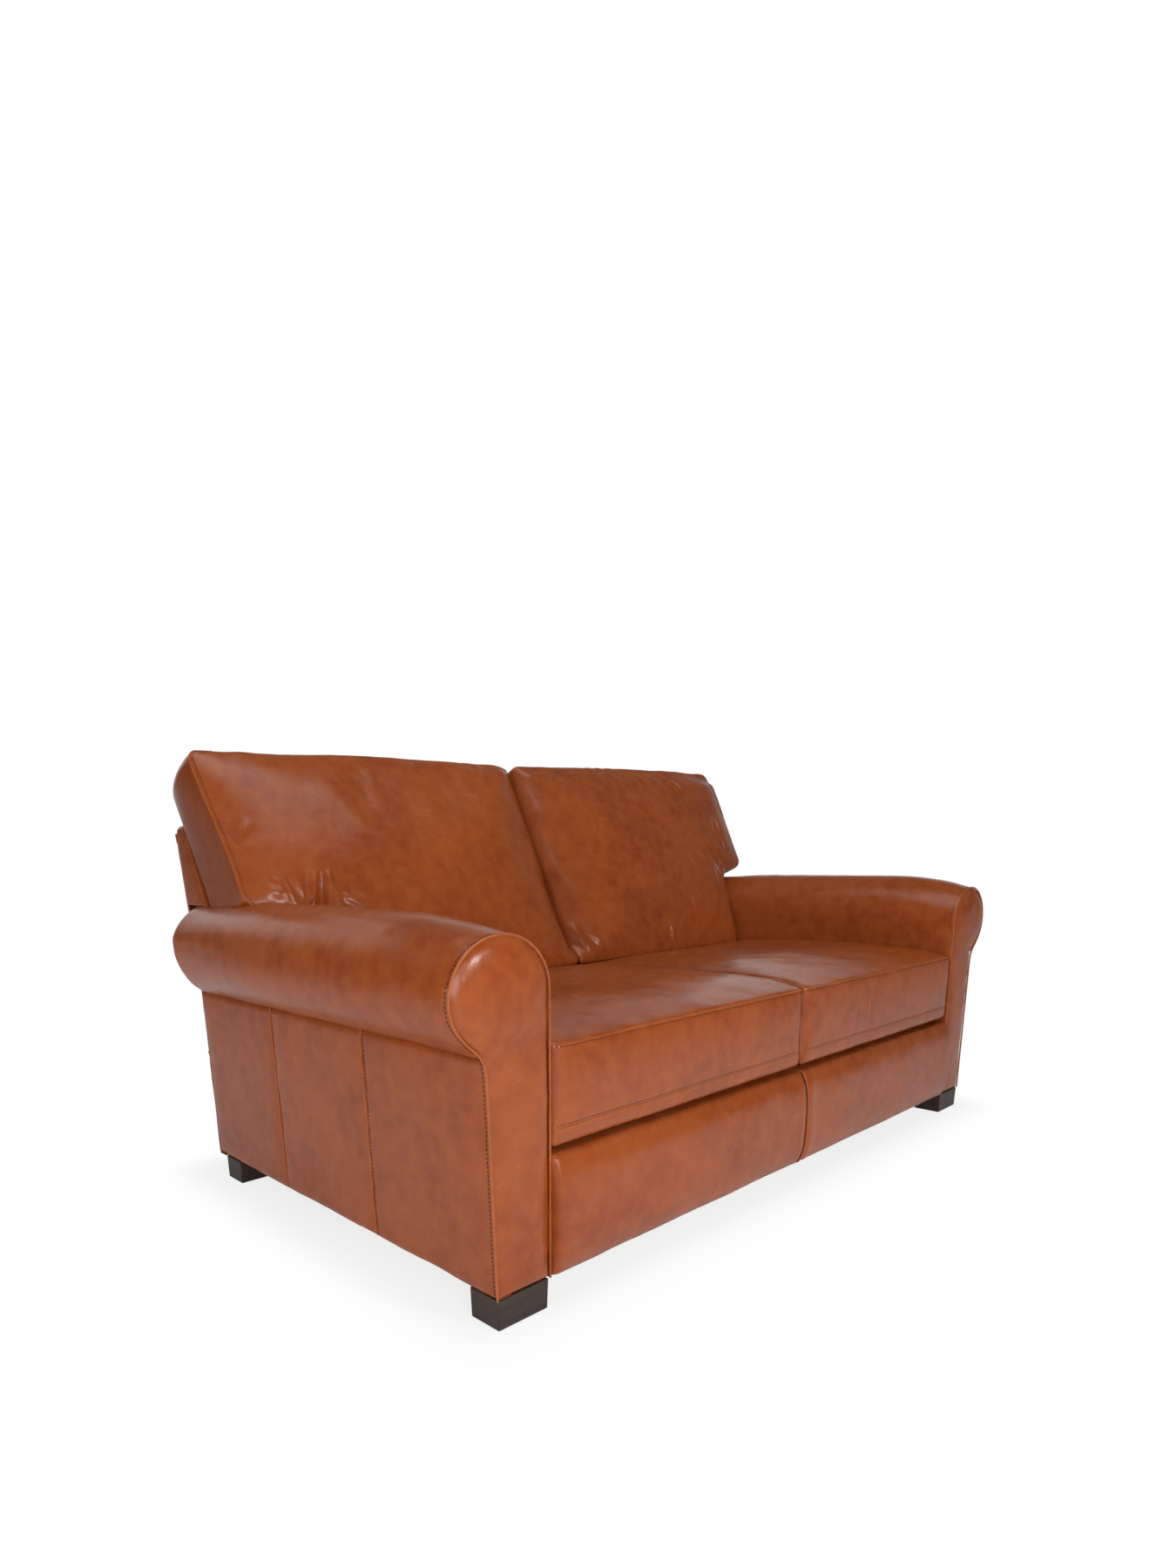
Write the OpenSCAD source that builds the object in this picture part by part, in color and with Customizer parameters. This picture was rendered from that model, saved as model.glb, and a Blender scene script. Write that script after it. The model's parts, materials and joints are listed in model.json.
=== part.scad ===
// Two-seat leather sofa with rolled arms, loose seat and back cushions and block feet.
// X runs across the sofa, the seat faces -Y, and Z is up from the floor.
// Depths (y) are counted from the front plane of the arms, and placed() puts the origin under the middle.

/* [Seat] */
// Clear width of one seat
seat_w = 721; // [600:1:850]
// Depth of the seat, from the arm fronts to the foot of the back cushions
seat_depth = 588; // [520:1:640]
// Height of the top seam of the seat cushions
seat_h = 411; // [400:1:440]
// Drop from the top seam of a seat cushion to its underside
seat_cushion_t = 153; // [135:1:155]
// Rise of a seat cushion's crown above its top seam
seat_crown = 41; // [20:1:50]
// Depth of the highest line of that crown, from the front of the seat
seat_crown_y = 190; // [150:1:260]
// Drop of that crown at the sides of the cushion
seat_side_drop = 15; // [8:1:18]

/* [Arms] */
// Height of the top of the arms
arm_h = 578; // [550:1:595]
// Depth of the arms, front to back
arm_depth = 908; // [860:1:960]
// Thickness of an arm at its base
arm_base_w = 112; // [100:1:125]
// Outward lean of the outside of the arm, from its base to the crease
arm_lean = 15; // [5:1:25]
// Width of the arm roll
roll_w = 189; // [175:1:205]
// Height of the arm roll
roll_h = 170; // [150:1:185]
// Rounding of the back end of the roll, seen from above
roll_end_r = 40; // [30:1:45]
// Rounding of the back end of the roll, seen from the side
roll_top_r = 30; // [15:1:35]
// First upright seam of the outside arm, from the front
side_seam_1 = 306; // [260:1:340]
// Second upright seam of the outside arm, from the front
side_seam_2 = 607; // [560:1:650]

/* [Back] */
// Height of the upholstered back frame
back_h = 754; // [735:1:790]
// Rake of the back cushions and of the front of the back frame
back_rake = 25.6; // [22:0.1:27]
// Rake of the outside back above the arm crease
outside_rake = 11.7; // [9:0.1:14]
// Thickness of the back at its top, between its two raked faces
back_top_t = 51; // [48:1:70]
// Rounding along the top of the back frame
back_top_r = 18; // [10:1:22]
// Height of the top front seam of the back cushions
back_cushion_h = 900; // [850:1:930]
// Thickness of a back cushion at its border
back_cushion_t = 138; // [120:1:145]
// Swell of the front of a back cushion
back_crown = 24; // [10:1:30]
// Swell of the rear of a back cushion
back_rear_crown = 18; // [8:1:19]
// Space between the border of a back cushion and the back frame
back_gap = 20; // [20:1:26]
// Height of the front lower edge of a back cushion where it laps over the arm
ear_h = 607; // [600:1:625]
// Rounding of the top corners of a back cushion
back_corner_r = 30; // [15:1:40]
// Rounding of its lower corner beside the arm
back_foot_r = 45; // [20:1:60]

/* [Upholstery] */
// Padding and leather over the arms
pad = 12; // [8:1:14]
// Padding and leather over the back frame
back_pad = 15; // [10:1:18]
// Padded panel on the front of an arm
front_panel_t = 14; // [11:1:20]
// Radius of the welt cord around the arm fronts
welt_r = 3; // [2:0.5:4]
// Swell of the front rail
rail_crown = 17; // [8:1:25]
// Padding and leather over the front of the front rail
rail_pad = 8; // [6:1:12]
// Leather over the top of the front rail
rail_cap_t = 2; // [1.5:0.5:3]
// Room for the springs and their clips, from the rails to the top of the front rail
spring_room = 8; // [8:1:10]
// Leather folded under the front rail
rail_hem_t = 6; // [3:1:8]
// Depth of the leather over the top edge of the front rail
rail_cap_d = 45; // [42:1:60]
// Thickness of the outside back panels
outside_t = 6; // [4:1:9]
// Card lining under the padding of the arms
lining_t = 4; // [2:0.5:5]
// Thickness of the deck pad under the seat cushions
deck_t = 14; // [10:1:14]
// Step of the deck pad behind the front of the seat
deck_front = 30; // [26:1:40]
// Thickness of the dust cover
dust_t = 1.2; // [0.8:0.1:2]
// Gap between neighbouring cushions
cushion_gap = 3; // [2:0.5:6]
// Gap between a cushion and what it rests on
rest_gap = 1; // [0.6:0.1:1.5]

/* [Frame] */
// Thickness of the frame boards
board_t = 25; // [20:1:28]
// Height of the side rails and of the spring rail
side_rail_h = 90; // [70:1:110]
// Step of the rail that the springs run to behind the foot of the back frame
spring_rail_step = 22; // [18:1:40]
// Height of the centre rail
center_rail_h = 80; // [60:1:95]
// Depth of the back posts below the seat
post_foot_d = 32; // [28:1:40]
// Height of the lower back rail
lower_rail_h = 60; // [40:1:80]
// Height of the back's top rail
top_rail_h = 25; // [20:1:30]
// Width of the top slat of the arm
arm_slat_w = 60; // [40:1:80]
// Thickness of the arm slats
arm_slat_t = 20; // [16:1:24]
// Height of the tack rail of the arm
tack_rail_h = 60; // [40:1:80]
// Height of the sill along the bottom of the arm
sill_h = 24; // [20:1:30]
// Leg of a corner block
block_leg = 70; // [60:1:90]
// Height of a corner block
block_h = 60; // [50:1:66]
// Radius of a corner screw's shank
screw_r = 2.2; // [1.8:0.1:2.6]
// Depth of a corner screw in its rail
screw_bite = 18; // [12:1:19]

/* [Springs] */
// Springs under each seat
springs_per_seat = 4; // [3:1:4]
// Wire of the seat springs
spring_wire = 3.8; // [3:0.1:4]
// Width of a spring
spring_w = 50; // [40:1:60]
// Half loops in a spring
spring_loops = 16; // [12:2:18]
// Thickness of a spring clip
clip_t = 1.5; // [1:0.1:2]
// Length of a spring clip along the rail
clip_w = 24; // [18:1:30]
// Elastic straps behind each back cushion
straps_per_seat = 3; // [2:1:4]
// Width of a strap
strap_w = 60; // [40:1:70]
// Thickness of a strap
strap_t = 1.5; // [1:0.1:2]

/* [Feet] */
// Height of the feet, from the floor to the body
foot_h = 50; // [45:1:60]
// Width of a foot, across the sofa
foot_w = 104; // [90:1:108]
// Depth of a foot
foot_d = 63; // [58:1:80]
// Set-back of a foot from the outside and the front of the arm
foot_inset = 3; // [1:1:5]
// Set-back of the rear feet from the outside back
rear_foot_inset = 32; // [25:1:60]
// Radius of the hanger bolts
bolt_r = 4; // [3:0.5:5]
// Depth of a hanger bolt in its foot
bolt_depth = 30; // [20:1:36]
// Radius of the nylon glides
glide_r = 14; // [10:1:18]
// Thickness of the nylon glides
glide_t = 3; // [2.5:0.5:4]
// How far a glide stands out of its foot
glide_out = 1; // [0.5:0.1:1.5]

/* [Hidden] */
$fn = 48;

LEATHER = [0.58, 0.26, 0.12];
WELT = [0.68, 0.33, 0.15];
PINE = [0.80, 0.66, 0.45];
PLYWOOD = [0.74, 0.60, 0.42];
CARD = [0.62, 0.52, 0.38];
STEEL = [0.62, 0.63, 0.65];
CLOTH = [0.16, 0.16, 0.17];
STRAP = [0.25, 0.24, 0.23];
ESPRESSO = [0.11, 0.07, 0.055];
NYLON = [0.86, 0.85, 0.82];

LEFT = -1;
RIGHT = 1;
FRONT = 0;
REAR = 1;

running_gap = 0.1;      // radial gap of a bolt, nut or screw in its hole
ROLL_STEPS = 30;        // flats around the arm roll
CURVE_STEPS = 14;       // flats along a crowned edge
FLAT_POWER = 4;         // how flat the middle of a crowned edge is

// Arm section
half_in = seat_w;
roll_rx = roll_w / 2;
roll_rz = roll_h / 2;
roll_cx = half_in + roll_rx;
roll_z = arm_h - roll_rz;
wall_base_x = half_in + arm_base_w;
wall_top_x = wall_base_x + arm_lean;
outer_x = half_in + roll_w;
core = pad + lining_t;  // from the leather of an arm to its boards
function crease_angle(d) = acos((wall_top_x - d - roll_cx) / (roll_rx - d));
crease_z = roll_z - roll_rz * sin(crease_angle(0));

// Levels
seat_bottom = seat_h - seat_cushion_t;
deck_top = seat_bottom - rest_gap;
rail_top = deck_top - deck_t;   // top of the front rail, where the deck pad lies
wood_top = rail_top - spring_room;
wood_low = foot_h + rail_hem_t;

// The two faces of the back, at height z
function outside_y(z) = arm_depth + max(0, z - crease_z) * tan(outside_rake);
function inside_y(z) = outside_y(back_h) - back_top_t - (back_h - z) * tan(back_rake);
back_layer = back_pad / cos(back_rake);
post_top = back_h - pad - top_rail_h;
rear_max_y = outside_y(back_h - back_top_r);

// Depths of the seat: the back cushions stand before the back, and the seat runs forwards from them
cushion_foot_y = inside_y(seat_h) - (back_cushion_t + back_gap) / cos(back_rake);
seat_front_y = cushion_foot_y - seat_depth;
front_rail_y = seat_front_y + rail_pad;
seat_box_y = front_rail_y + board_t;
spring_rail_y = inside_y(rail_top) + spring_rail_step;
deck_rear = inside_y(rail_top) - rest_gap;

// Depths of the arms and of the back frame's base
back_panel_y = arm_depth - outside_t;
arm_cap_y = back_panel_y - pad;
front_board_y = front_panel_t;
rear_board_y = arm_cap_y - board_t;
post_y = back_panel_y - post_foot_d;
rear_rail_y = post_y - board_t;
rail_x = half_in - board_t;

// Origin under the middle of the whole sofa
front_y = -(rear_max_y + seat_front_y - rail_crown) / 2;

// Feet, with their bolts beside the end boards of the arm
NUT_WALL = 1.5;         // wall of a nut's barrel
NUT_RIM = 7;            // rim of its flange around the bolt
NUT_FLANGE_T = 1.5;     // thickness of the flange
nut_r = bolt_r + NUT_WALL;
nut_flange_r = bolt_r + NUT_RIM;
nut_depth = sill_h / 2;
function foot_x(side) = side * (wall_base_x - foot_inset - foot_w / 2);
function foot_y(end) = end == FRONT ? foot_inset : arm_depth - rear_foot_inset - foot_d;
function bolt_y(end) = end == FRONT
    ? front_board_y + board_t + nut_flange_r + rest_gap
    : rear_board_y - nut_flange_r - rest_gap;

// Springs and clips
spring_z = wood_top + clip_t + spring_wire / 2;
spring_y0 = front_rail_y + board_t / 2;
spring_y1 = spring_rail_y + board_t / 2;
spring_arch = rail_top - spring_z - spring_wire / 2;
SPRING_SIDES = 5;
LOOP_STEPS = 4;

module placed() translate([0, front_y, 0]) children();
// Solid with its section in X and Z, from depth y0 to y1
module along_y(y0, y1) translate([0, y1, 0]) rotate([90, 0, 0]) linear_extrude(y1 - y0) children();
// Solid with its section in Y and Z, from x0 to x1
module along_x(x0, x1) translate([x0, 0, 0]) rotate([90, 0, 90]) linear_extrude(x1 - x0) children();
module on_side(side) {
    if (side == RIGHT) children();
    else mirror([1, 0, 0]) children();
}
module block(x0, x1, y0, y1, z0, z1) translate([x0, y0, z0]) cube([x1 - x0, y1 - y0, z1 - z0]);

function arc(cx, cy, r, a0, a1, steps) = [for (i = [0:steps])
    let (a = a0 + (a1 - a0) * i / steps) [cx + r * cos(a), cy + r * sin(a)]];
function reversed(list) = [for (i = [len(list) - 1:-1:0]) list[i]];
// 1 in the middle, 0 at both ends, flat in between
function crown(t) = 1 - pow(abs(t), FLAT_POWER);
// 1 in the middle, 0 at both ends, round all the way
function dome(t) = 1 - t * t;

// ---------------------------------------------------------------- arms

// The roll, from its inner side over the top to the crease, d inside the leather
function roll_arc(d) = [for (i = [0:ROLL_STEPS])
    let (a = 180 - (180 + crease_angle(d)) * i / ROLL_STEPS)
    [roll_cx + (roll_rx - d) * cos(a), roll_z + (roll_rz - d) * sin(a)]];
function arm_outline(d) = concat([[half_in + d, foot_h]], roll_arc(d), [[wall_base_x - d, foot_h]]);

// Limits of the arm with the rounded back end of its roll
module arm_envelope(rear) {
    intersection() {
        translate([0, 0, foot_h]) linear_extrude(arm_h) polygon(concat(
            [[half_in, 0], [outer_x, 0]],
            arc(outer_x - roll_end_r, rear - roll_end_r, roll_end_r, 0, 90, CURVE_STEPS),
            [[half_in, rear]]));
        along_x(half_in, outer_x) polygon(concat(
            [[0, foot_h], [rear, foot_h]],
            arc(rear - roll_top_r, arm_h - roll_top_r, roll_top_r, 0, 90, CURVE_STEPS),
            [[0, arm_h]]));
    }
}

module arm_cover(side) color(LEATHER) placed() on_side(side) intersection() {
    arm_envelope(back_panel_y);
    union() {
        along_y(front_panel_t, arm_cap_y) polygon(concat([[half_in, foot_h]], roll_arc(0),
            reversed(roll_arc(pad)), [[half_in + pad, foot_h]]));
        along_y(arm_cap_y, back_panel_y) polygon(concat([[half_in, foot_h]], roll_arc(0),
            [roll_arc(pad)[ROLL_STEPS], [wall_base_x - pad, foot_h]]));
    }
}

module arm_lining(side) color(CARD) placed() on_side(side)
    along_y(front_board_y, arm_cap_y) polygon(concat([[half_in + pad, foot_h]], roll_arc(pad),
        reversed(roll_arc(core)), [[half_in + core, foot_h]]));

module arm_board(side, y) color(PLYWOOD) placed() on_side(side)
    along_y(y, y + board_t) polygon(arm_outline(core));

module arm_sill(side) color(PINE) placed() on_side(side) difference() {
    block(half_in + core, wall_base_x - core, front_board_y + board_t, rear_board_y, foot_h, foot_h + sill_h);
    for (end = [FRONT, REAR]) translate([foot_x(RIGHT), bolt_y(end), 0])
        cylinder(r = nut_r + running_gap, h = foot_h + 2 * sill_h);
}

// A slat under the top of the roll, and the tack rail that the inside arm is fixed to
module arm_slats(side) color(PINE) placed() on_side(side) {
    slat_top = roll_z - rest_gap + (roll_rz - core) * sqrt(1 - pow(arm_slat_w / 2 / (roll_rx - core), 2));
    y0 = front_board_y + board_t;
    block(roll_cx - arm_slat_w / 2, roll_cx + arm_slat_w / 2, y0, rear_board_y, slat_top - arm_slat_t, slat_top);
    block(half_in + core, half_in + core + arm_slat_t, y0, rear_board_y, rail_top, rail_top + tack_rail_h);
}

// The panel steps back around its edge, and the welt lies in the step
module arm_front_panel(side) color(LEATHER) placed() on_side(side) {
    along_y(0, 2 * welt_r) polygon(arm_outline(2 * welt_r + rest_gap));
    along_y(2 * welt_r, front_panel_t) polygon(arm_outline(0));
}

// Direction out of an outline at its point i
function out_of(path, i) = let (d = path[min(i + 1, len(path) - 1)] - path[max(i - 1, 0)])
    [-d[1], d[0]] / norm(d);

// A cord swept along the arm outline
module arm_welt(side) color(WELT) placed() on_side(side) {
    path = arm_outline(welt_r);
    count = len(path);
    points = [for (i = [0:count - 1]) for (k = [0:7])
        let (n = out_of(path, i), a = 45 * k)
        [path[i][0] + welt_r * n[0] * cos(a), welt_r * (1 + sin(a)), path[i][1] + welt_r * n[1] * cos(a)]];
    faces = concat([[for (k = [0:7]) k]],
        [for (i = [0:count - 2]) for (k = [0:7])
            [i * 8 + k, (i + 1) * 8 + k, (i + 1) * 8 + (k + 1) % 8, i * 8 + (k + 1) % 8]],
        [[for (k = [7:-1:0]) (count - 1) * 8 + k]]);
    polyhedron(points, faces);
}

// One leather panel of the outside arm, from depth y0 to y1
module outside_arm(side, y0, y1) color(LEATHER) placed() on_side(side) along_y(y0, y1) polygon([
    roll_arc(0)[ROLL_STEPS], [wall_base_x, foot_h], [wall_base_x - pad, foot_h], roll_arc(pad)[ROLL_STEPS]]);

// ---------------------------------------------------------------- seat frame

module front_rail() color(PINE) placed() difference() {
    block(-half_in, half_in, front_rail_y, seat_box_y, wood_low, wood_top);
    corner_screw_holes();
}

module rear_rail() color(PINE) placed() difference() {
    block(-half_in, half_in, rear_rail_y, post_y, wood_low, wood_top);
    corner_screw_holes();
}

module spring_rail() color(PINE) placed()
    block(-rail_x, rail_x, spring_rail_y, spring_rail_y + board_t, wood_top - side_rail_h, wood_top);

module side_rail(side) color(PINE) placed() on_side(side) difference() {
    block(rail_x, half_in, seat_box_y, rear_rail_y, wood_top - side_rail_h, wood_top);
    corner_screw_holes();
}

module center_rail() color(PINE) placed()
    block(-board_t / 2, board_t / 2, seat_box_y, rear_rail_y, wood_low, wood_low + center_rail_h);

// Puts a corner, drawn with its legs along -X and +Y, into the four corners of the seat frame
module at_corners() {
    for (side = [LEFT, RIGHT]) on_side(side) {
        translate([rail_x, seat_box_y, 0]) children();
        translate([rail_x, rear_rail_y, 0]) mirror([0, 1, 0]) children();
    }
}

block_z = wood_top - side_rail_h / 2 - block_h / 2;
head_r = 2 * screw_r;
HEAD_T = 3;             // thickness of a screw head
screw_step = block_h / 3;
screw_seat = block_leg / 2 - 2 * head_r;    // from the rail to the seat of the screw head

// One screw into the side rail and one, higher, into the front or rear rail
module at_block_screws() {
    translate([0, block_leg / 2, block_z + screw_step]) rotate([0, 90, 0]) children();
    translate([-block_leg / 2, 0, block_z + 2 * screw_step]) rotate([90, 0, 0]) children();
}
module corner_screw_holes() at_corners() at_block_screws()
    translate([0, 0, -block_leg]) cylinder(r = screw_r + running_gap, h = block_leg + screw_bite + running_gap);

module corner_blocks() color(PINE) placed() difference() {
    at_corners() translate([0, 0, block_z]) linear_extrude(block_h)
        polygon([[0, 0], [-block_leg, 0], [0, block_leg]]);
    corner_screw_holes();
    at_corners() at_block_screws() translate([0, 0, -block_leg])
        cylinder(r = head_r + running_gap, h = block_leg - screw_seat);
}

module corner_screws() color(STEEL) placed() at_corners() at_block_screws() {
    translate([0, 0, -screw_seat]) cylinder(r = screw_r, h = screw_seat + screw_bite);
    translate([0, 0, -screw_seat - HEAD_T]) cylinder(r = head_r, h = HEAD_T);
}

// ---------------------------------------------------------------- springs and deck

function spring_x(seat, i) = seat * half_in * (i + 0.5) / springs_per_seat;

// A wire that swings from side to side in half loops and arches up in the middle
module zigzag_spring() {
    steps = spring_loops * LOOP_STEPS;
    path = [for (i = [0:steps]) let (t = i / steps, a = 180 * i / LOOP_STEPS)
        [spring_w / 2 * sin(a), spring_y0 + (spring_y1 - spring_y0) * t, spring_z + spring_arch * sin(180 * t)]];
    points = [for (i = [0:steps]) for (k = [0:SPRING_SIDES - 1])
        let (d = path[min(i + 1, steps)] - path[max(i - 1, 0)],
            n = [d[1], -d[0], 0] / norm([d[0], d[1]]),
            a = 360 * k / SPRING_SIDES - 90)
        path[i] + spring_wire / 2 * (n * cos(a) + [0, 0, 1] * sin(a))];
    faces = concat([[for (k = [0:SPRING_SIDES - 1]) k]],
        [for (i = [0:steps - 1]) for (k = [0:SPRING_SIDES - 1])
            [i * SPRING_SIDES + k, (i + 1) * SPRING_SIDES + k,
             (i + 1) * SPRING_SIDES + (k + 1) % SPRING_SIDES, i * SPRING_SIDES + (k + 1) % SPRING_SIDES]],
        [[for (k = [SPRING_SIDES - 1:-1:0]) steps * SPRING_SIDES + k]]);
    polyhedron(points, faces);
}

module seat_springs() color(STEEL) placed()
    for (seat = [LEFT, RIGHT], i = [0:springs_per_seat - 1])
        translate([spring_x(seat, i), 0, 0]) zigzag_spring();

module spring_clips() color(STEEL) placed()
    for (seat = [LEFT, RIGHT], i = [0:springs_per_seat - 1], y = [front_rail_y, spring_rail_y])
        translate([spring_x(seat, i) - clip_w / 2, y, wood_top]) cube([clip_w, board_t, clip_t]);

module seat_deck() color(CLOTH) placed()
    block(-half_in, half_in, seat_front_y + deck_front, deck_rear, rail_top, deck_top);

module dust_cover() color(CLOTH) placed()
    block(-half_in, half_in, seat_box_y, back_panel_y, wood_low - dust_t, wood_low);

// ---------------------------------------------------------------- front rail cover

// A crowned face from hem to cap, wrapped over and under the rail
module rail_cover(x0, x1) color(LEATHER) placed() along_x(x0, x1) polygon(concat(
    [[seat_box_y, wood_low], [seat_box_y, foot_h]],
    [for (i = [0:CURVE_STEPS]) let (t = 2 * i / CURVE_STEPS - 1)
        [seat_front_y - rail_crown * crown(t), foot_h + (rail_top - foot_h) * (t + 1) / 2]],
    [[seat_front_y + rail_cap_d, rail_top], [seat_front_y + rail_cap_d, rail_top - rail_cap_t],
     [front_rail_y, rail_top - rail_cap_t], [front_rail_y, wood_low]]));

// ---------------------------------------------------------------- back frame

// Section of the back frame above height z0, without the outside back panel
module back_section(z0) {
    z_round = back_h - back_top_r;
    front_c = inside_y(z_round) + back_top_r / cos(back_rake);
    rear_c = outside_y(z_round) - outside_t - back_top_r / cos(outside_rake);
    polygon(concat([[inside_y(z0), z0]],
        arc(front_c, z_round, back_top_r, 180 - back_rake, 90, CURVE_STEPS / 2),
        arc(rear_c, z_round, back_top_r, 90, -outside_rake, CURVE_STEPS / 2),
        z0 < crease_z ? [[back_panel_y, crease_z]] : [],
        [[outside_y(z0) - outside_t, z0]]));
}

// The same, inside the padding and open at the rear
module back_hollow(z0) {
    top = back_h - pad;
    polygon([[inside_y(z0) + back_layer, z0], [inside_y(top) + back_layer, top],
        [arm_depth + back_h, top], [arm_depth + back_h, z0]]);
}

module back_frame_cover() color(LEATHER) placed() difference() {
    union() {
        along_x(-half_in, half_in) back_section(rail_top);
        along_x(-wall_top_x, wall_top_x) back_section(arm_h);
        // behind the back end of each arm roll
        for (side = [LEFT, RIGHT]) on_side(side) along_x(half_in, wall_top_x)
            polygon([[back_panel_y, crease_z], [outside_y(arm_h) - outside_t, arm_h], [back_panel_y, arm_h]]);
    }
    along_x(-half_in, half_in) back_hollow(rail_top - 1);
    along_x(pad - wall_top_x, wall_top_x - pad) back_hollow(arm_h + pad);
}

// A plywood post from x0 to x1: a foot behind the rear rail, and a wedge that carries the inside back
module back_post(x0, x1) color(PLYWOOD) placed() along_x(x0, x1) polygon([
    [post_y, wood_low], [back_panel_y, wood_low], [back_panel_y, crease_z],
    [outside_y(post_top) - outside_t, post_top], [inside_y(post_top) + back_layer, post_top],
    [inside_y(wood_top) + back_layer, wood_top], [post_y, wood_top]]);

// A short post that carries the back above the arm
module ear_post(side) color(PLYWOOD) placed() on_side(side)
    along_x(wall_top_x - pad - board_t, wall_top_x - pad) {
        low = arm_h + pad;
        polygon([[inside_y(low) + back_layer, low], [outside_y(low) - outside_t, low],
            [outside_y(post_top) - outside_t, post_top], [inside_y(post_top) + back_layer, post_top]]);
    }

rail_step = 2 * strap_t;    // the rails stand back from the posts to leave room for the straps

module back_top_rail() color(PINE) placed()
    block(pad - wall_top_x, wall_top_x - pad, inside_y(back_h - pad) + back_layer + rail_step,
        outside_y(post_top) - outside_t, post_top, back_h - pad);

module back_lower_rail() color(PINE) placed()
    for (side = [LEFT, RIGHT]) on_side(side) {
        y = inside_y(rail_top + lower_rail_h) + back_layer + rail_step;
        block(board_t / 2, rail_x, y, y + board_t, rail_top, rail_top + lower_rail_h);
    }

// Elastic straps up the front of the back frame, from the lower rail to the top rail
module back_webbing() color(STRAP) placed()
    for (side = [LEFT, RIGHT], i = [0:straps_per_seat - 1]) {
        x = side * half_in * (i + 1) / (straps_per_seat + 1);
        z0 = rail_top;
        z1 = back_h - pad;
        y0 = inside_y(z0) + back_layer;
        y1 = inside_y(z1) + back_layer;
        t = strap_t / cos(back_rake);
        along_x(x - strap_w / 2, x + strap_w / 2) polygon([[y0, z0], [y0 + t, z0], [y1 + t, z1], [y1, z1]]);
    }

// Section of the outside back panels: upright to the crease, then raked
module outside_back_section() {
    z1 = back_h - back_top_r;
    polygon([[back_panel_y, foot_h], [arm_depth, foot_h], [arm_depth, crease_z],
        [outside_y(z1), z1], [outside_y(z1) - outside_t, z1], [back_panel_y, crease_z]]);
}
back_seam_x = wall_top_x / 3;

module outside_back_end(side) color(LEATHER) placed() on_side(side) intersection() {
    along_x(back_seam_x, wall_top_x) outside_back_section();
    along_y(0, arm_depth + back_h) polygon([[back_seam_x, foot_h], [wall_base_x, foot_h],
        [wall_top_x, crease_z], [wall_top_x, back_h], [back_seam_x, back_h]]);
}
module outside_back_middle() color(LEATHER) placed() along_x(-back_seam_x, back_seam_x) outside_back_section();

// ---------------------------------------------------------------- cushions

seat_x0 = cushion_gap / 2;
seat_x1 = half_in - cushion_gap / 2;
seat_rear = inside_y(seat_bottom) - 2 * rest_gap - seat_front_y;    // from the front of the seat
SEAT_NOSE = 18;         // rounding under the front edge of a seat cushion
SEAT_CORNER = 22;       // rounding of its upright corners
SEAT_BELLY = 5;         // swell of its front border

// Top of a seat cushion at depth y: it falls away to the front seam and under the back cushion
function seat_top(y) = let (reach = y < seat_crown_y ? seat_crown_y : seat_depth - seat_crown_y)
    seat_h + seat_crown * dome((y - seat_crown_y) / reach);

module seat_cushion(side) color(LEATHER) placed() translate([0, seat_front_y, 0]) on_side(side) intersection() {
    along_x(seat_x0, seat_x1) polygon(concat(
        [[seat_rear, seat_bottom]],
        reversed(arc(SEAT_NOSE, seat_bottom + SEAT_NOSE, SEAT_NOSE, 180, 270, CURVE_STEPS / 2)),
        [for (i = [1:CURVE_STEPS]) let (t = 2 * i / CURVE_STEPS - 1)
            [-SEAT_BELLY * dome(t), seat_bottom + SEAT_NOSE + (seat_cushion_t - SEAT_NOSE) * (t + 1) / 2]],
        [for (i = [1:2 * CURVE_STEPS]) let (y = seat_rear * i / (2 * CURVE_STEPS)) [y, seat_top(y)]]));
    along_y(-SEAT_NOSE, seat_rear) polygon(concat([[seat_x1, seat_bottom]],
        [for (i = [0:CURVE_STEPS]) let (t = 1 - 2 * i / CURVE_STEPS)
            [(seat_x0 + seat_x1) / 2 + (seat_x1 - seat_x0) / 2 * t,
             seat_h + seat_crown - seat_side_drop * (1 - dome(t))]],
        [[seat_x0, seat_bottom]]));
    linear_extrude(seat_h + 2 * seat_crown) polygon(concat(
        arc(seat_x1 - SEAT_CORNER, SEAT_CORNER - SEAT_BELLY, SEAT_CORNER, -90, 0, CURVE_STEPS / 2),
        [[seat_x1, seat_rear], [seat_x0, seat_rear]],
        arc(seat_x0 + SEAT_CORNER, SEAT_CORNER - SEAT_BELLY, SEAT_CORNER, 180, 270, CURVE_STEPS / 2)));
}

// A back cushion is drawn flat: x across, y up its face, z from its front seam to its rear
back_w = (back_cushion_h - seat_h) / cos(back_rake);
ear_w = (ear_h - seat_h) / cos(back_rake);
cushion_x2 = wall_top_x;    // outer side of the ear

module back_outline() polygon(concat(
    [[seat_x0, 0]],
    arc(seat_x1 - back_foot_r, back_foot_r, back_foot_r, -90, 0, CURVE_STEPS / 2),
    [[seat_x1, ear_w], [cushion_x2, ear_w]],
    arc(cushion_x2 - back_corner_r, back_w - back_corner_r, back_corner_r, 0, 90, CURVE_STEPS / 2),
    arc(seat_x0 + back_corner_r, back_w - back_corner_r, back_corner_r, 90, 180, CURVE_STEPS / 2)));

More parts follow.
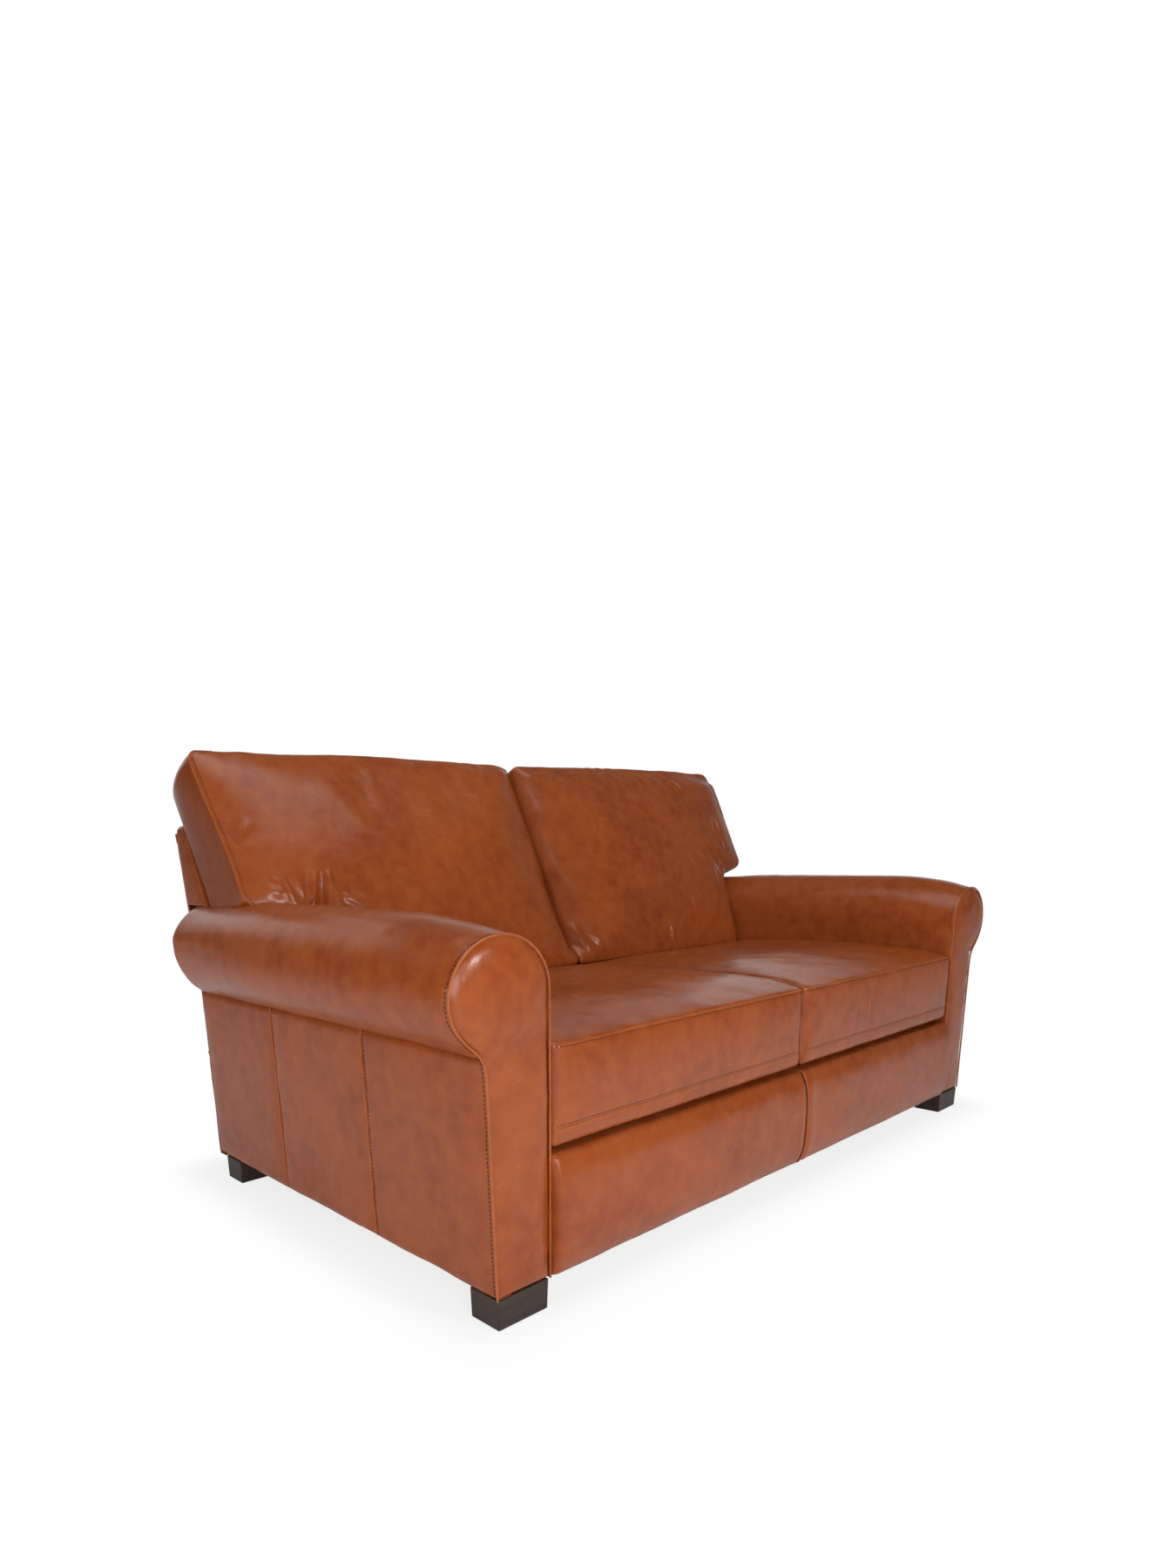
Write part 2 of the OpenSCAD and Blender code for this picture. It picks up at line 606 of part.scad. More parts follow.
// A section from a0 to a1: its front swells forwards and its rear swells back
module pillow_section(a0, a1) {
    mid = (a0 + a1) / 2;
    half = (a1 - a0) / 2;
    polygon(concat(
        [for (i = [0:CURVE_STEPS]) let (t = 2 * i / CURVE_STEPS - 1) [mid + half * t, -back_crown * crown(t)]],
        [for (i = [0:CURVE_STEPS]) let (t = 1 - 2 * i / CURVE_STEPS)
            [mid + half * t, back_cushion_t + back_rear_crown * crown(t)]]));
}

module back_cushion(side) color(LEATHER) placed() on_side(side) difference() {
    translate([0, cushion_foot_y, seat_h]) rotate([90 - back_rake, 0, 0]) mirror([0, 0, 1]) intersection() {
        translate([0, 0, -back_crown]) linear_extrude(back_cushion_t + back_crown + back_rear_crown) back_outline();
        rotate([90, 0, 90]) linear_extrude(cushion_x2) pillow_section(0, back_w);
        translate([0, back_w, 0]) rotate([90, 0, 0]) linear_extrude(back_w)
            pillow_section(seat_x0, cushion_x2);
    }
    // it rests on the seat cushion, and its ear on the arm
    block(0, outer_x, 0, arm_depth + back_h, 0, seat_h + rest_gap);
    block(seat_x1, outer_x, 0, arm_depth + back_h, 0, arm_h + rest_gap);
}

// ---------------------------------------------------------------- feet

module foot(side, end) color(ESPRESSO) placed() difference() {
    translate([foot_x(side) - foot_w / 2, foot_y(end), glide_out]) cube([foot_w, foot_d, foot_h - glide_out]);
    translate([foot_x(side), foot_y(end) + foot_d / 2, 0]) cylinder(r = glide_r + running_gap, h = glide_t);
    translate([foot_x(side), bolt_y(end), foot_h - bolt_depth])
        cylinder(r = bolt_r + running_gap, h = foot_h);
}

module at_bolts() for (side = [LEFT, RIGHT], end = [FRONT, REAR])
    translate([foot_x(side), bolt_y(end), 0]) children();

module foot_bolts() color(STEEL) placed() at_bolts() translate([0, 0, foot_h - bolt_depth])
    cylinder(r = bolt_r, h = bolt_depth + sill_h + NUT_FLANGE_T + bolt_r);

// A flange on top of the sill and a barrel down into it
module foot_nuts() color(STEEL) placed() at_bolts() difference() {
    union() {
        translate([0, 0, foot_h + sill_h - nut_depth]) cylinder(r = nut_r, h = nut_depth);
        translate([0, 0, foot_h + sill_h]) cylinder(r = nut_flange_r, h = NUT_FLANGE_T);
    }
    cylinder(r = bolt_r + running_gap, h = foot_h + sill_h + 2 * NUT_FLANGE_T);
}

module foot_glides() color(NYLON) placed() for (side = [LEFT, RIGHT], end = [FRONT, REAR])
    translate([foot_x(side), foot_y(end) + foot_d / 2, 0]) cylinder(r = glide_r, h = glide_t);

front_rail();
rear_rail();
spring_rail();
side_rail(LEFT);  // left_side_rail
side_rail(RIGHT);  // right_side_rail
center_rail();
corner_blocks();
corner_screws();
arm_board(LEFT, front_board_y);  // left_arm_front_board
arm_board(LEFT, rear_board_y);  // left_arm_rear_board
arm_sill(LEFT);  // left_arm_sill
arm_slats(LEFT);  // left_arm_slats
arm_lining(LEFT);  // left_arm_lining
arm_board(RIGHT, front_board_y);  // right_arm_front_board
arm_board(RIGHT, rear_board_y);  // right_arm_rear_board
arm_sill(RIGHT);  // right_arm_sill
arm_slats(RIGHT);  // right_arm_slats
arm_lining(RIGHT);  // right_arm_lining
back_post(-half_in, -rail_x);  // left_back_post
back_post(rail_x, half_in);  // right_back_post
back_post(-board_t / 2, board_t / 2);  // center_back_post
ear_post(LEFT);  // left_ear_post
ear_post(RIGHT);  // right_ear_post
back_top_rail();
back_lower_rail();
back_webbing();
seat_springs();
spring_clips();
seat_deck();
arm_cover(LEFT);  // left_arm_cover
arm_cover(RIGHT);  // right_arm_cover
arm_front_panel(LEFT);  // left_arm_front_panel
arm_front_panel(RIGHT);  // right_arm_front_panel
arm_welt(LEFT);  // left_arm_welt
arm_welt(RIGHT);  // right_arm_welt
outside_arm(LEFT, front_panel_t, side_seam_1);  // left_outside_front
outside_arm(LEFT, side_seam_1, side_seam_2);  // left_outside_middle
outside_arm(LEFT, side_seam_2, back_panel_y);  // left_outside_rear
outside_arm(RIGHT, front_panel_t, side_seam_1);  // right_outside_front
outside_arm(RIGHT, side_seam_1, side_seam_2);  // right_outside_middle
outside_arm(RIGHT, side_seam_2, back_panel_y);  // right_outside_rear
rail_cover(-half_in, 0);  // left_rail_cover
rail_cover(0, half_in);  // right_rail_cover
back_frame_cover();
outside_back_end(LEFT);  // outside_back_left
outside_back_middle();  // outside_back_center
outside_back_end(RIGHT);  // outside_back_right
dust_cover();
seat_cushion(LEFT);  // left_seat_cushion
seat_cushion(RIGHT);  // right_seat_cushion
back_cushion(LEFT);  // left_back_cushion
back_cushion(RIGHT);  // right_back_cushion
foot(LEFT, FRONT);  // front_left_foot
foot(RIGHT, FRONT);  // front_right_foot
foot(LEFT, REAR);  // rear_left_foot
foot(RIGHT, REAR);  // rear_right_foot
foot_bolts();
foot_nuts();
foot_glides();
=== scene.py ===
import json
import math
from contextlib import contextmanager

import bmesh
import bpy
import numpy as np
from mathutils import Matrix, Vector
from mathutils.bvhtree import BVHTree
from mathutils.kdtree import KDTree


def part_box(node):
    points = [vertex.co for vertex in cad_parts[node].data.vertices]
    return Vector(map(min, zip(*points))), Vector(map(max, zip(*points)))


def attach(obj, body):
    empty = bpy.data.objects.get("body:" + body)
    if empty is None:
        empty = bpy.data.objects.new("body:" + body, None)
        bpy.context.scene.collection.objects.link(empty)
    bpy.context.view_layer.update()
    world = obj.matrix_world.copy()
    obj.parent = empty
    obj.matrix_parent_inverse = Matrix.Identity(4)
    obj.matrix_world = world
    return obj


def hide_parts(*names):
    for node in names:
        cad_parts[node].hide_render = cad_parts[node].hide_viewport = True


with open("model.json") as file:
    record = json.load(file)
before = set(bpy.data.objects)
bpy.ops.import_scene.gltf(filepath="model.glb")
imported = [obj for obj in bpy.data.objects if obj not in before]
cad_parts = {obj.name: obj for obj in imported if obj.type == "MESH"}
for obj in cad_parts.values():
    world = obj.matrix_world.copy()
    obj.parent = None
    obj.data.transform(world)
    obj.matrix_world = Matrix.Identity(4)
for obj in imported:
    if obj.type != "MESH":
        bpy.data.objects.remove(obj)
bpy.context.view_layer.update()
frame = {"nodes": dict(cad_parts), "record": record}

LEFT, RIGHT = -1, 1
SIDE_NAMES = {LEFT: "left", RIGHT: "right"}

# ---- sizes, in metres, from the frame and from the sofa's own driving sizes
FRONT_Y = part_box("right_arm_front_panel")[0][1]     # front plane of the arms
HALF_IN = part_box("right_arm_cover")[0][0]           # inside face of an arm
FOOT_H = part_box("right_arm_cover")[0][2]            # underside of the body
ARM_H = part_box("right_arm_welt")[1][2]              # top of an arm
ARM_BACK_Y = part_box("right_arm_cover")[1][1]        # rear end of an arm
WALL_TOP_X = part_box("right_outside_front")[1][0]    # outside arm at the crease
RAIL_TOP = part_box("right_rail_cover")[1][2]
SEAM_1_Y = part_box("right_outside_front")[1][1]      # the two upright seams of the outside arm
SEAM_2_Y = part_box("right_outside_middle")[1][1]
OUT_BACK_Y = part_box("outside_back_center")[1][1]
BACK_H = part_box("back_frame_cover")[1][2]
BACK_SEAM_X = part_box("outside_back_center")[1][0]

ROLL_W = 0.189
ROLL_H = 0.170
ARM_LEAN = 0.015
SEAT_H = 0.411              # upper seam of the seat cushions
SEAT_LOW_SEAM = 0.280       # lower seam of their front border
SEAT_DEPTH = 0.588          # from the arm fronts to the foot of the back cushions
BACK_CUSHION_T = 0.138
BACK_CUSHION_H = 0.900
EAR_H = 0.607               # where the ears of the back cushions rest on the arms
BACK_RAKE = math.radians(25.6)
OUTSIDE_RAKE = math.radians(11.7)
BACK_TOP_T = 0.051
RAIL_CROWN = 0.017
BACK_TOP_R = 0.018          # rounding along the top of the back frame
WELT_R = 0.0019
SKIN = 0.0025               # thickness of the leather
ARM_FRONT_GAP = 0.0045      # from the front plane back to the leather of the arm

ROLL_RX = ROLL_W / 2
ROLL_RZ = ROLL_H / 2
ROLL_X = HALF_IN + ROLL_RX
ROLL_Z = ARM_H - ROLL_RZ
WALL_BASE_X = WALL_TOP_X - ARM_LEAN
CREASE_ANGLE = math.acos((WALL_TOP_X - ROLL_X) / ROLL_RX)
CREASE_Z = ROLL_Z - ROLL_RZ * math.sin(CREASE_ANGLE)
ARM_DEPTH_Y = OUT_BACK_Y - (BACK_H - BACK_TOP_R - CREASE_Z) * math.tan(OUTSIDE_RAKE)


def outside_y(z):
    """The outside back at height z: upright to the crease of the arms, then raked."""
    return ARM_DEPTH_Y + np.maximum(0, z - CREASE_Z) * math.tan(OUTSIDE_RAKE)


def inside_y(z):
    """The front of the back frame at height z."""
    return outside_y(BACK_H) - BACK_TOP_T - (BACK_H - z) * math.tan(BACK_RAKE)


# ---------------------------------------------------------------- node tools

def feed(tree, target, value):
    """Gives an input its constant, or links an output to it."""
    if isinstance(value, bpy.types.NodeSocket):
        tree.links.new(value, target)
    else:
        target.default_value = value


def add(tree, kind, inputs=None, **settings):
    """A node with its settings, and then its inputs by name or by number."""
    node = tree.nodes.new(kind)
    for key, value in settings.items():
        setattr(node, key, value)
    for key, value in (inputs or {}).items():
        feed(tree, node.inputs[key], value)
    return node


def new_group(name, inputs, outputs, kind="ShaderNodeTree"):
    """A node group with named inputs, each with its default, and the sockets of its two ends."""
    tree = bpy.data.node_groups.new(name, kind)
    for label, sort, default in inputs:
        item = tree.interface.new_socket(name=label, in_out="INPUT", socket_type="NodeSocket" + sort)
        if default is not None:
            item.default_value = default
    for label, sort in outputs:
        tree.interface.new_socket(name=label, in_out="OUTPUT", socket_type="NodeSocket" + sort)
    return tree, tree.nodes.new("NodeGroupInput").outputs, tree.nodes.new("NodeGroupOutput").inputs


def mask_group(name, knob, default, *masks):
    """A shader group that makes masks over the surface, with one size to set."""
    inputs = [("Vector", "Vector", None), (knob, "Float", default)]
    return new_group(name, inputs, [(mask, "Float") for mask in masks])


def math_node(tree, operation, *values):
    return add(tree, "ShaderNodeMath", dict(enumerate(values)), operation=operation).outputs[0]


def times(tree, a, b):
    return math_node(tree, "MULTIPLY", a, b)


def plus(tree, a, b):
    return math_node(tree, "ADD", a, b)


def vector_math(tree, operation, *values):
    return add(tree, "ShaderNodeVectorMath", dict(enumerate(values)), operation=operation)


def span(tree, value, low, high, to_low=0.0, to_high=1.0):
    """value from low..high, smoothly to to_low..to_high, held at the ends."""
    inputs = {"Value": value, "From Min": low, "From Max": high, "To Min": to_low, "To Max": to_high}
    return add(tree, "ShaderNodeMapRange", inputs, interpolation_type="SMOOTHSTEP").outputs["Result"]


def mix_colour(tree, amount, a, b):
    return add(tree, "ShaderNodeMix", {0: amount, 6: a, 7: b}, data_type="RGBA").outputs[2]


def noise(tree, vector, scale, detail=3.0, roughness=0.5, distortion=0.0):
    inputs = {"Vector": vector, "Scale": scale, "Detail": detail, "Roughness": roughness,
              "Distortion": distortion}
    return add(tree, "ShaderNodeTexNoise", inputs).outputs["Fac"]


def stretched(tree, vector, scale, turn=(0, 0, 0)):
    inputs = {"Vector": vector, "Rotation": turn, "Scale": scale}
    return add(tree, "ShaderNodeMapping", inputs).outputs["Vector"]


def toned(colour, factor):
    """A colour made darker or paler."""
    return tuple(min(1.0, factor * c) for c in colour[:3]) + (1,)


# ---------------------------------------------------------------- effects that materials share

def build_mottle():
    """Uneven dye of waxed leather: broad patches, small clouds and pale rubbed spots, each 0 to 1."""
    tree, given, result = mask_group("leather_mottle", "Patch Scale", 6.0, "Patches", "Clouds", "Rubs")
    where, scale = given["Vector"], given["Patch Scale"]
    patches = noise(tree, where, scale, 3.0, 0.55, 0.3)
    clouds = noise(tree, where, times(tree, scale, 5.5), 5.0, 0.56, 0.25)
    rubs = noise(tree, where, times(tree, scale, 17.0), 4.0, 0.7, 1.2)
    feed(tree, result["Patches"], span(tree, patches, 0.34, 0.68))
    feed(tree, result["Clouds"], span(tree, clouds, 0.20, 0.80))
    feed(tree, result["Rubs"], span(tree, rubs, 0.60, 0.78))
    return tree


# turn and fineness of each set of scratches
SCRATCH_WAYS = (((0.3, 0.5, 0.2), 260), ((1.2, 0.2, 1.9), 310), ((0.7, 1.5, 0.9), 230))


def build_scratches():
    """Short fine scratches in three directions and broken fat wrinkles, 0 to 1."""
    tree, given, result = mask_group("leather_scratches", "Amount", 1.0, "Scratches", "Wrinkles")
    where, amount = given["Vector"], given["Amount"]
    total = 0.0
    for turn, fineness in SCRATCH_WAYS:
        lines = noise(tree, stretched(tree, where, (14, fineness, fineness), turn), 1.0, 1.0, 0.4, 0.3)
        total = math_node(tree, "MAXIMUM", total, span(tree, lines, 0.68, 0.74))
    gate = span(tree, noise(tree, where, 21.0, 2.0), 0.47, 0.60)
    feed(tree, result["Scratches"], times(tree, times(tree, total, gate), amount))
    swirl = add(tree, "ShaderNodeTexNoise", {"Scale": 34.0, "Vector": where}).outputs["Color"]
    weak = add(tree, "ShaderNodeVectorMath", {0: swirl, "Scale": 0.035}, operation="SCALE")
    bent = vector_math(tree, "ADD", where, weak.outputs["Vector"])
    inputs = {"Vector": bent.outputs["Vector"], "Scale": 26.0, "Randomness": 1.0}
    cells = add(tree, "ShaderNodeTexVoronoi", inputs, feature="DISTANCE_TO_EDGE")
    line = span(tree, cells.outputs["Distance"], 0.0, 0.035, 1.0, 0.0)
    broken = span(tree, noise(tree, where, 15.0, 3.0), 0.54, 0.66)
    feed(tree, result["Wrinkles"], times(tree, times(tree, line, broken), amount))
    return tree


def build_grain():
    """Height of the hair-cell grain, 0 to 1."""
    tree, given, result = mask_group("leather_grain", "Grain Scale", 620.0, "Height")
    where, scale = given["Vector"], given["Grain Scale"]
    cells = add(tree, "ShaderNodeTexVoronoi", {"Vector": where, "Scale": scale, "Smoothness": 0.4},
                feature="SMOOTH_F1")
    soft = noise(tree, where, times(tree, scale, 0.28), 3.0, 0.6)
    pebbles = times(tree, cells.outputs["Distance"], 0.6)
    feed(tree, result["Height"], plus(tree, pebbles, times(tree, soft, 0.6)))
    return tree


def build_wood_grain():
    """Long grain for boards: dark and pale streaks along the first axis, 0 to 1, and pores."""
    tree, given, result = mask_group("board_grain", "Fineness", 1.0, "Streaks", "Pores")
    scaled = add(tree, "ShaderNodeVectorMath", {0: given["Vector"], "Scale": given["Fineness"]},
                 operation="SCALE")
    streaks = noise(tree, stretched(tree, scaled.outputs["Vector"], (3, 60, 60)), 1.0, 5.0, 0.6, 1.4)
    pores = noise(tree, stretched(tree, scaled.outputs["Vector"], (22, 900, 900)), 1.0, 2.0)
    feed(tree, result["Streaks"], span(tree, streaks, 0.3, 0.7))
    feed(tree, result["Pores"], span(tree, pores, 0.60, 0.70))
    return tree


def build_weave():
    """Plain weave in two directions: thread height, 0 to 1."""
    tree, given, result = mask_group("cloth_weave", "Threads", 700.0, "Height")
    split = add(tree, "ShaderNodeSeparateXYZ", {0: given["Vector"]})
    waves = []
    for axis in ("X", "Y"):
        turned = times(tree, times(tree, split.outputs[axis], given["Threads"]), math.tau)
        waves.append(math_node(tree, "SINE", turned))
    feed(tree, result["Height"], span(tree, times(tree, *waves), -1.0, 1.0))
    return tree


MOTTLE = build_mottle()
SCRATCHES = build_scratches()
GRAIN = build_grain()
BOARD_GRAIN = build_wood_grain()
WEAVE = build_weave()


# ---------------------------------------------------------------- materials

def new_material(name):
    """A material with a Principled shader, and its Object coordinates."""
    material = bpy.data.materials.new(name)
    material.use_nodes = True
    tree = material.node_tree
    tree.nodes.clear()
    shader = add(tree, "ShaderNodeBsdfPrincipled")
    add(tree, "ShaderNodeOutputMaterial", {"Surface": shader.outputs[0]})
    where = add(tree, "ShaderNodeTexCoord").outputs["Object"]
    return material, tree, shader, where


def place_group(tree, group, where, **values):
    """A shared effect with its own values; an underscore stands for a space in their names."""
    inputs = {label.replace("_", " "): value for label, value in values.items()}
    return add(tree, "ShaderNodeGroup", {"Vector": where, **inputs}, node_tree=group).outputs


def mark(tree, name):
    """A mask that is stored on the piece's points."""
    return add(tree, "ShaderNodeAttribute", attribute_name=name).outputs["Fac"]


def bump(tree, shader, heights):
    """Chains Bump nodes, from the broadest relief to the finest, into the shader's normal."""
    last = None
    for height, distance, strength in heights:
        node = add(tree, "ShaderNodeBump", {"Distance": distance, "Strength": strength, "Height": height})
        if last is not None:
            tree.links.new(last, node.inputs["Normal"])
        last = node.outputs["Normal"]
    tree.links.new(last, shader.inputs["Normal"])


SCRATCHED = (0.56, 0.20, 0.07, 1)       # the leather where it is scratched,
WORN = (0.50, 0.145, 0.036, 1)          # where its seams are rubbed,
SEAM_SHADE = (0.10, 0.020, 0.006, 1)        # the painted shadow where it dips into a seam,
DEEP_SHADE = (0.125, 0.022, 0.004, 1)     # and painted shade, on the sides of the cushions and over the back frame


def leather(name, base, dark, pale, patch_scale=6.0, scratched=1.0):
    """Waxed leather: uneven dye, rubbed seams, fine scratches and hair-cell grain, with a painted shadow in
    its seam dips and painted shade where a piece is marked deep.
    """
    material, tree, shader, where = new_material(name)
    mottle = place_group(tree, MOTTLE, where, Patch_Scale=patch_scale)
    marks = place_group(tree, SCRATCHES, where, Amount=scratched)
    grain = place_group(tree, GRAIN, where, Grain_Scale=620.0)

    colour = mix_colour(tree, mottle["Patches"], dark, base)
    colour = mix_colour(tree, times(tree, mottle["Clouds"], 0.60), colour, pale)
    colour = mix_colour(tree, times(tree, mottle["Rubs"], 0.20), colour, toned(pale, 1.4))
    marked = plus(tree, times(tree, marks["Scratches"], 0.04), times(tree, marks["Wrinkles"], 0.03))
    colour = mix_colour(tree, marked, colour, SCRATCHED)
    worn = times(tree, mark(tree, "seam"), plus(tree, times(tree, mottle["Clouds"], 0.24), 0.14))
    colour = mix_colour(tree, worn, colour, WORN)
    # a painted shadow in the dip along each seam
    colour = mix_colour(tree, times(tree, mark(tree, "dip"), 0.85), colour, SEAM_SHADE)
    # painted shade where a piece is marked deep
    colour = mix_colour(tree, times(tree, mark(tree, "deep"), 0.5), colour, DEEP_SHADE)
    feed(tree, shader.inputs["Base Color"], colour)

    rough = plus(tree, times(tree, mottle["Clouds"], 0.025), times(tree, marks["Scratches"], 0.01))
    rough = plus(tree, rough, times(tree, mottle["Patches"], 0.03))
    feed(tree, shader.inputs["Roughness"], plus(tree, rough, 0.225))
    shader.inputs["Specular IOR Level"].default_value = 0.34
    bump(tree, shader, [(mottle["Clouds"], 0.0012, 0.18), (marks["Wrinkles"], 0.0003, 0.06),
                        (grain["Height"], 0.00035, 0.35)])
    return material


def board(name, pale, dark, fineness, roughness, turn=(0, 0, 0)):
    """Wood with its grain along X, unless it is turned."""
    material, tree, shader, where = new_material(name)
    grain = place_group(tree, BOARD_GRAIN, stretched(tree, where, (1, 1, 1), turn), Fineness=fineness)
    colour = mix_colour(tree, grain["Streaks"], dark, pale)
    colour = mix_colour(tree, times(tree, grain["Pores"], 0.5), colour, toned(dark, 0.4))
    feed(tree, shader.inputs["Base Color"], colour)
    feed(tree, shader.inputs["Roughness"], plus(tree, times(tree, grain["Streaks"], 0.12), roughness))
    sunk = span(tree, grain["Pores"], 0, 1, 1, 0)
    bump(tree, shader, [(grain["Streaks"], 0.0003, 0.3), (sunk, 0.0003, 0.4)])
    return material


def cloth(name, colour, threads, roughness=0.85):
    """Woven cloth, its threads paler on top."""
    material, tree, shader, where = new_material(name)
    weave = place_group(tree, WEAVE, where, Threads=threads)
    uneven = noise(tree, where, 30.0, 3.0)
    shade = mix_colour(tree, times(tree, weave["Height"], uneven), colour, toned(colour, 1.9))
    feed(tree, shader.inputs["Base Color"], shade)
    feed(tree, shader.inputs["Roughness"], span(tree, uneven, 0.3, 0.7, roughness - 0.08, roughness + 0.06))
    bump(tree, shader, [(weave["Height"], 0.0004, 0.6)])
    return material


def speckled(name, colour, shade, size, coarse, roughness, metallic=0.0):
    """Plain metal or plastic with fine smudges; roughness is that of the smoothest and the roughest."""
    material, tree, shader, where = new_material(name)
    smudge = noise(tree, where, size, 4.0, coarse)
    feed(tree, shader.inputs["Base Color"], mix_colour(tree, smudge, colour, toned(colour, shade)))
    feed(tree, shader.inputs["Roughness"], span(tree, smudge, 0.3, 0.7, *roughness))
    shader.inputs["Metallic"].default_value = metallic
    return material


COGNAC = leather("cognac_leather", (0.292, 0.059, 0.0107, 1), (0.225, 0.040, 0.0067, 1),
                 (0.375, 0.092, 0.0210, 1))
WELT = leather("welt_leather", (0.350, 0.082, 0.017, 1), (0.280, 0.058, 0.011, 1), (0.430, 0.118, 0.030, 1),
               patch_scale=14.0, scratched=0.4)
ESPRESSO = board("espresso_wood", (0.040, 0.019, 0.011, 1), (0.013, 0.0062, 0.0045, 1), 1.6, 0.36)
THREAD = cloth("thread", (0.075, 0.020, 0.008, 1), 2600.0, 0.60)

FINISHES = {
    "cognac_leather": COGNAC,
    "welt_leather": WELT,
    "espresso_wood": ESPRESSO,
    "frame_pine": board("frame_pine", (0.70, 0.50, 0.28, 1), (0.52, 0.33, 0.16, 1), 1.0, 0.55),
    "frame_plywood": board("frame_plywood", (0.62, 0.46, 0.27, 1), (0.47, 0.32, 0.17, 1), 1.3, 0.60,
                           (0, math.pi / 2, 0)),
    "arm_card": board("arm_card", (0.40, 0.29, 0.18, 1), (0.33, 0.23, 0.14, 1), 3.0, 0.80),
    "steel": speckled("steel", (0.60, 0.60, 0.62, 1), 0.7, 60.0, 0.6, (0.30, 0.48), metallic=1.0),
    "elastic_strap": cloth("elastic_strap", (0.055, 0.050, 0.046, 1), 500.0),
    "deck_cloth": cloth("deck_cloth", (0.022, 0.022, 0.024, 1), 420.0),
    "dust_cloth": cloth("dust_cloth", (0.018, 0.018, 0.020, 1), 900.0),
    "glide_nylon": speckled("glide_nylon", (0.72, 0.70, 0.64, 1), 0.8, 180.0, 0.7, (0.40, 0.55))}


def finish_frame_nodes():
    """Every CAD node gets the finish that the record gives it."""
    for part in frame["record"]["subparts"]:
        node = frame["nodes"][part["node"]]
        node.data.materials.clear()
        node.data.materials.append(FINISHES[part["material_slot"]])


# ---------------------------------------------------------------- mesh tools

def ripple(points, size, seed, octaves=3):
    """Smooth noise, about -1 to 1; size is the width of its largest lumps."""
    rng = np.random.default_rng(seed)
    total = np.zeros(len(points))
    for octave in range(octaves):
        ways = rng.normal(size=(6, 3))
        ways /= np.linalg.norm(ways, axis=1)[:, None]
        phase = rng.uniform(0, math.tau, 6)
        total += np.sin(points @ ways.T * (math.tau * 2 ** octave / size) + phase).mean(1) * 0.55 ** octave
    return 1.8 * total


def smooth(value):
    """0 below 0, 1 above 1, and a smooth step between."""
    value = np.clip(value, 0, 1)
    return value * value * (3 - 2 * value)


def put(name, mesh):
    """A mesh as an object of the scene."""
    obj = bpy.data.objects.new(name, mesh)
    bpy.context.scene.collection.objects.link(obj)
    return obj


def shade_smooth(mesh):
    mesh.polygons.foreach_set("use_smooth", [True] * len(mesh.polygons))


def make_object(name, points, faces, material):
    mesh = bpy.data.meshes.new(name)
    mesh.from_pydata([tuple(p) for p in points], [], faces)
    mesh.materials.append(material)
    shade_smooth(mesh)
    mesh.update()
    return put(name, mesh)


def sheet_faces(rows, columns):
    return [(r * columns + c, r * columns + c + 1, (r + 1) * columns + c + 1, (r + 1) * columns + c)
            for r in range(rows - 1) for c in range(columns - 1)]


def read_vectors(items, name):
    flat = np.empty(len(items) * 3, np.float32)
    items.foreach_get(name, flat)
    return flat.reshape(-1, 3).astype(float)


def read_points(mesh):
    return read_vectors(mesh.vertices, "co")


def read_normals(mesh):
    return read_vectors(mesh.vertex_normals, "vector")


def write_points(mesh, points):
    mesh.vertices.foreach_set("co", points.astype(np.float32).ravel())
    mesh.update()


@contextmanager
def opened(mesh):
    """A mesh opened for editing, and written back afterwards."""
    bm = bmesh.new()
    bm.from_mesh(mesh)
    yield bm
    bm.to_mesh(mesh)
    bm.free()


def face_away(obj, inside):
    """Turns every face of an open skin away from the point inside."""
    inside = Vector(inside)
    with opened(obj.data) as bm:
        bm.normal_update()
        if sum(f.normal.dot(f.calc_center_median() - inside) * f.calc_area() for f in bm.faces) < 0:
            bmesh.ops.reverse_faces(bm, faces=bm.faces)


def triangulate_large(obj):
    with opened(obj.data) as bm:
        large = [f for f in bm.faces if len(f.verts) > 4]
        bmesh.ops.triangulate(bm, faces=large, quad_method="BEAUTY", ngon_method="BEAUTY")


def set_marks(obj, **marks):
    """Stores masks on the points, which the leather reads."""
    for name, values in marks.items():
        attribute = obj.data.attributes.get(name) or obj.data.attributes.new(name, "FLOAT", "POINT")
        attribute.data.foreach_set("value", np.clip(values, 0, 1).astype(np.float32))


def distance_to(points, line):
    """Distance of each point to the nearest of a line's points."""
    tree = KDTree(len(line))
    for i, place in enumerate(line):
        tree.insert(place, i)
    tree.balance()
    return np.array([tree.find(p)[2] for p in points])


def run_along(line):
    """How far along a line each of its points is."""
    return np.r_[0, np.cumsum(np.linalg.norm(np.diff(line, axis=0), axis=1))]


def resample(line, step):
    """Points along a line, about one step apart."""
    line = np.asarray(line, float)
    run = run_along(line)
    count = max(2, int(round(run[-1] / step)) + 1)
    at = np.linspace(0, run[-1], count)
    return np.column_stack([np.interp(at, run, line[:, k]) for k in range(line.shape[1])])


def bell(value):
    return np.exp(-value ** 2)


def ride_as(obj, body, replaces=()):
    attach(obj, body)
    if replaces:
        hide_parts(*replaces)


def thicken(obj):
    """Gives a skin the thickness of its leather, inwards."""
    wall = obj.modifiers.new("leather", "SOLIDIFY")
    wall.thickness = SKIN
    wall.offset = -1


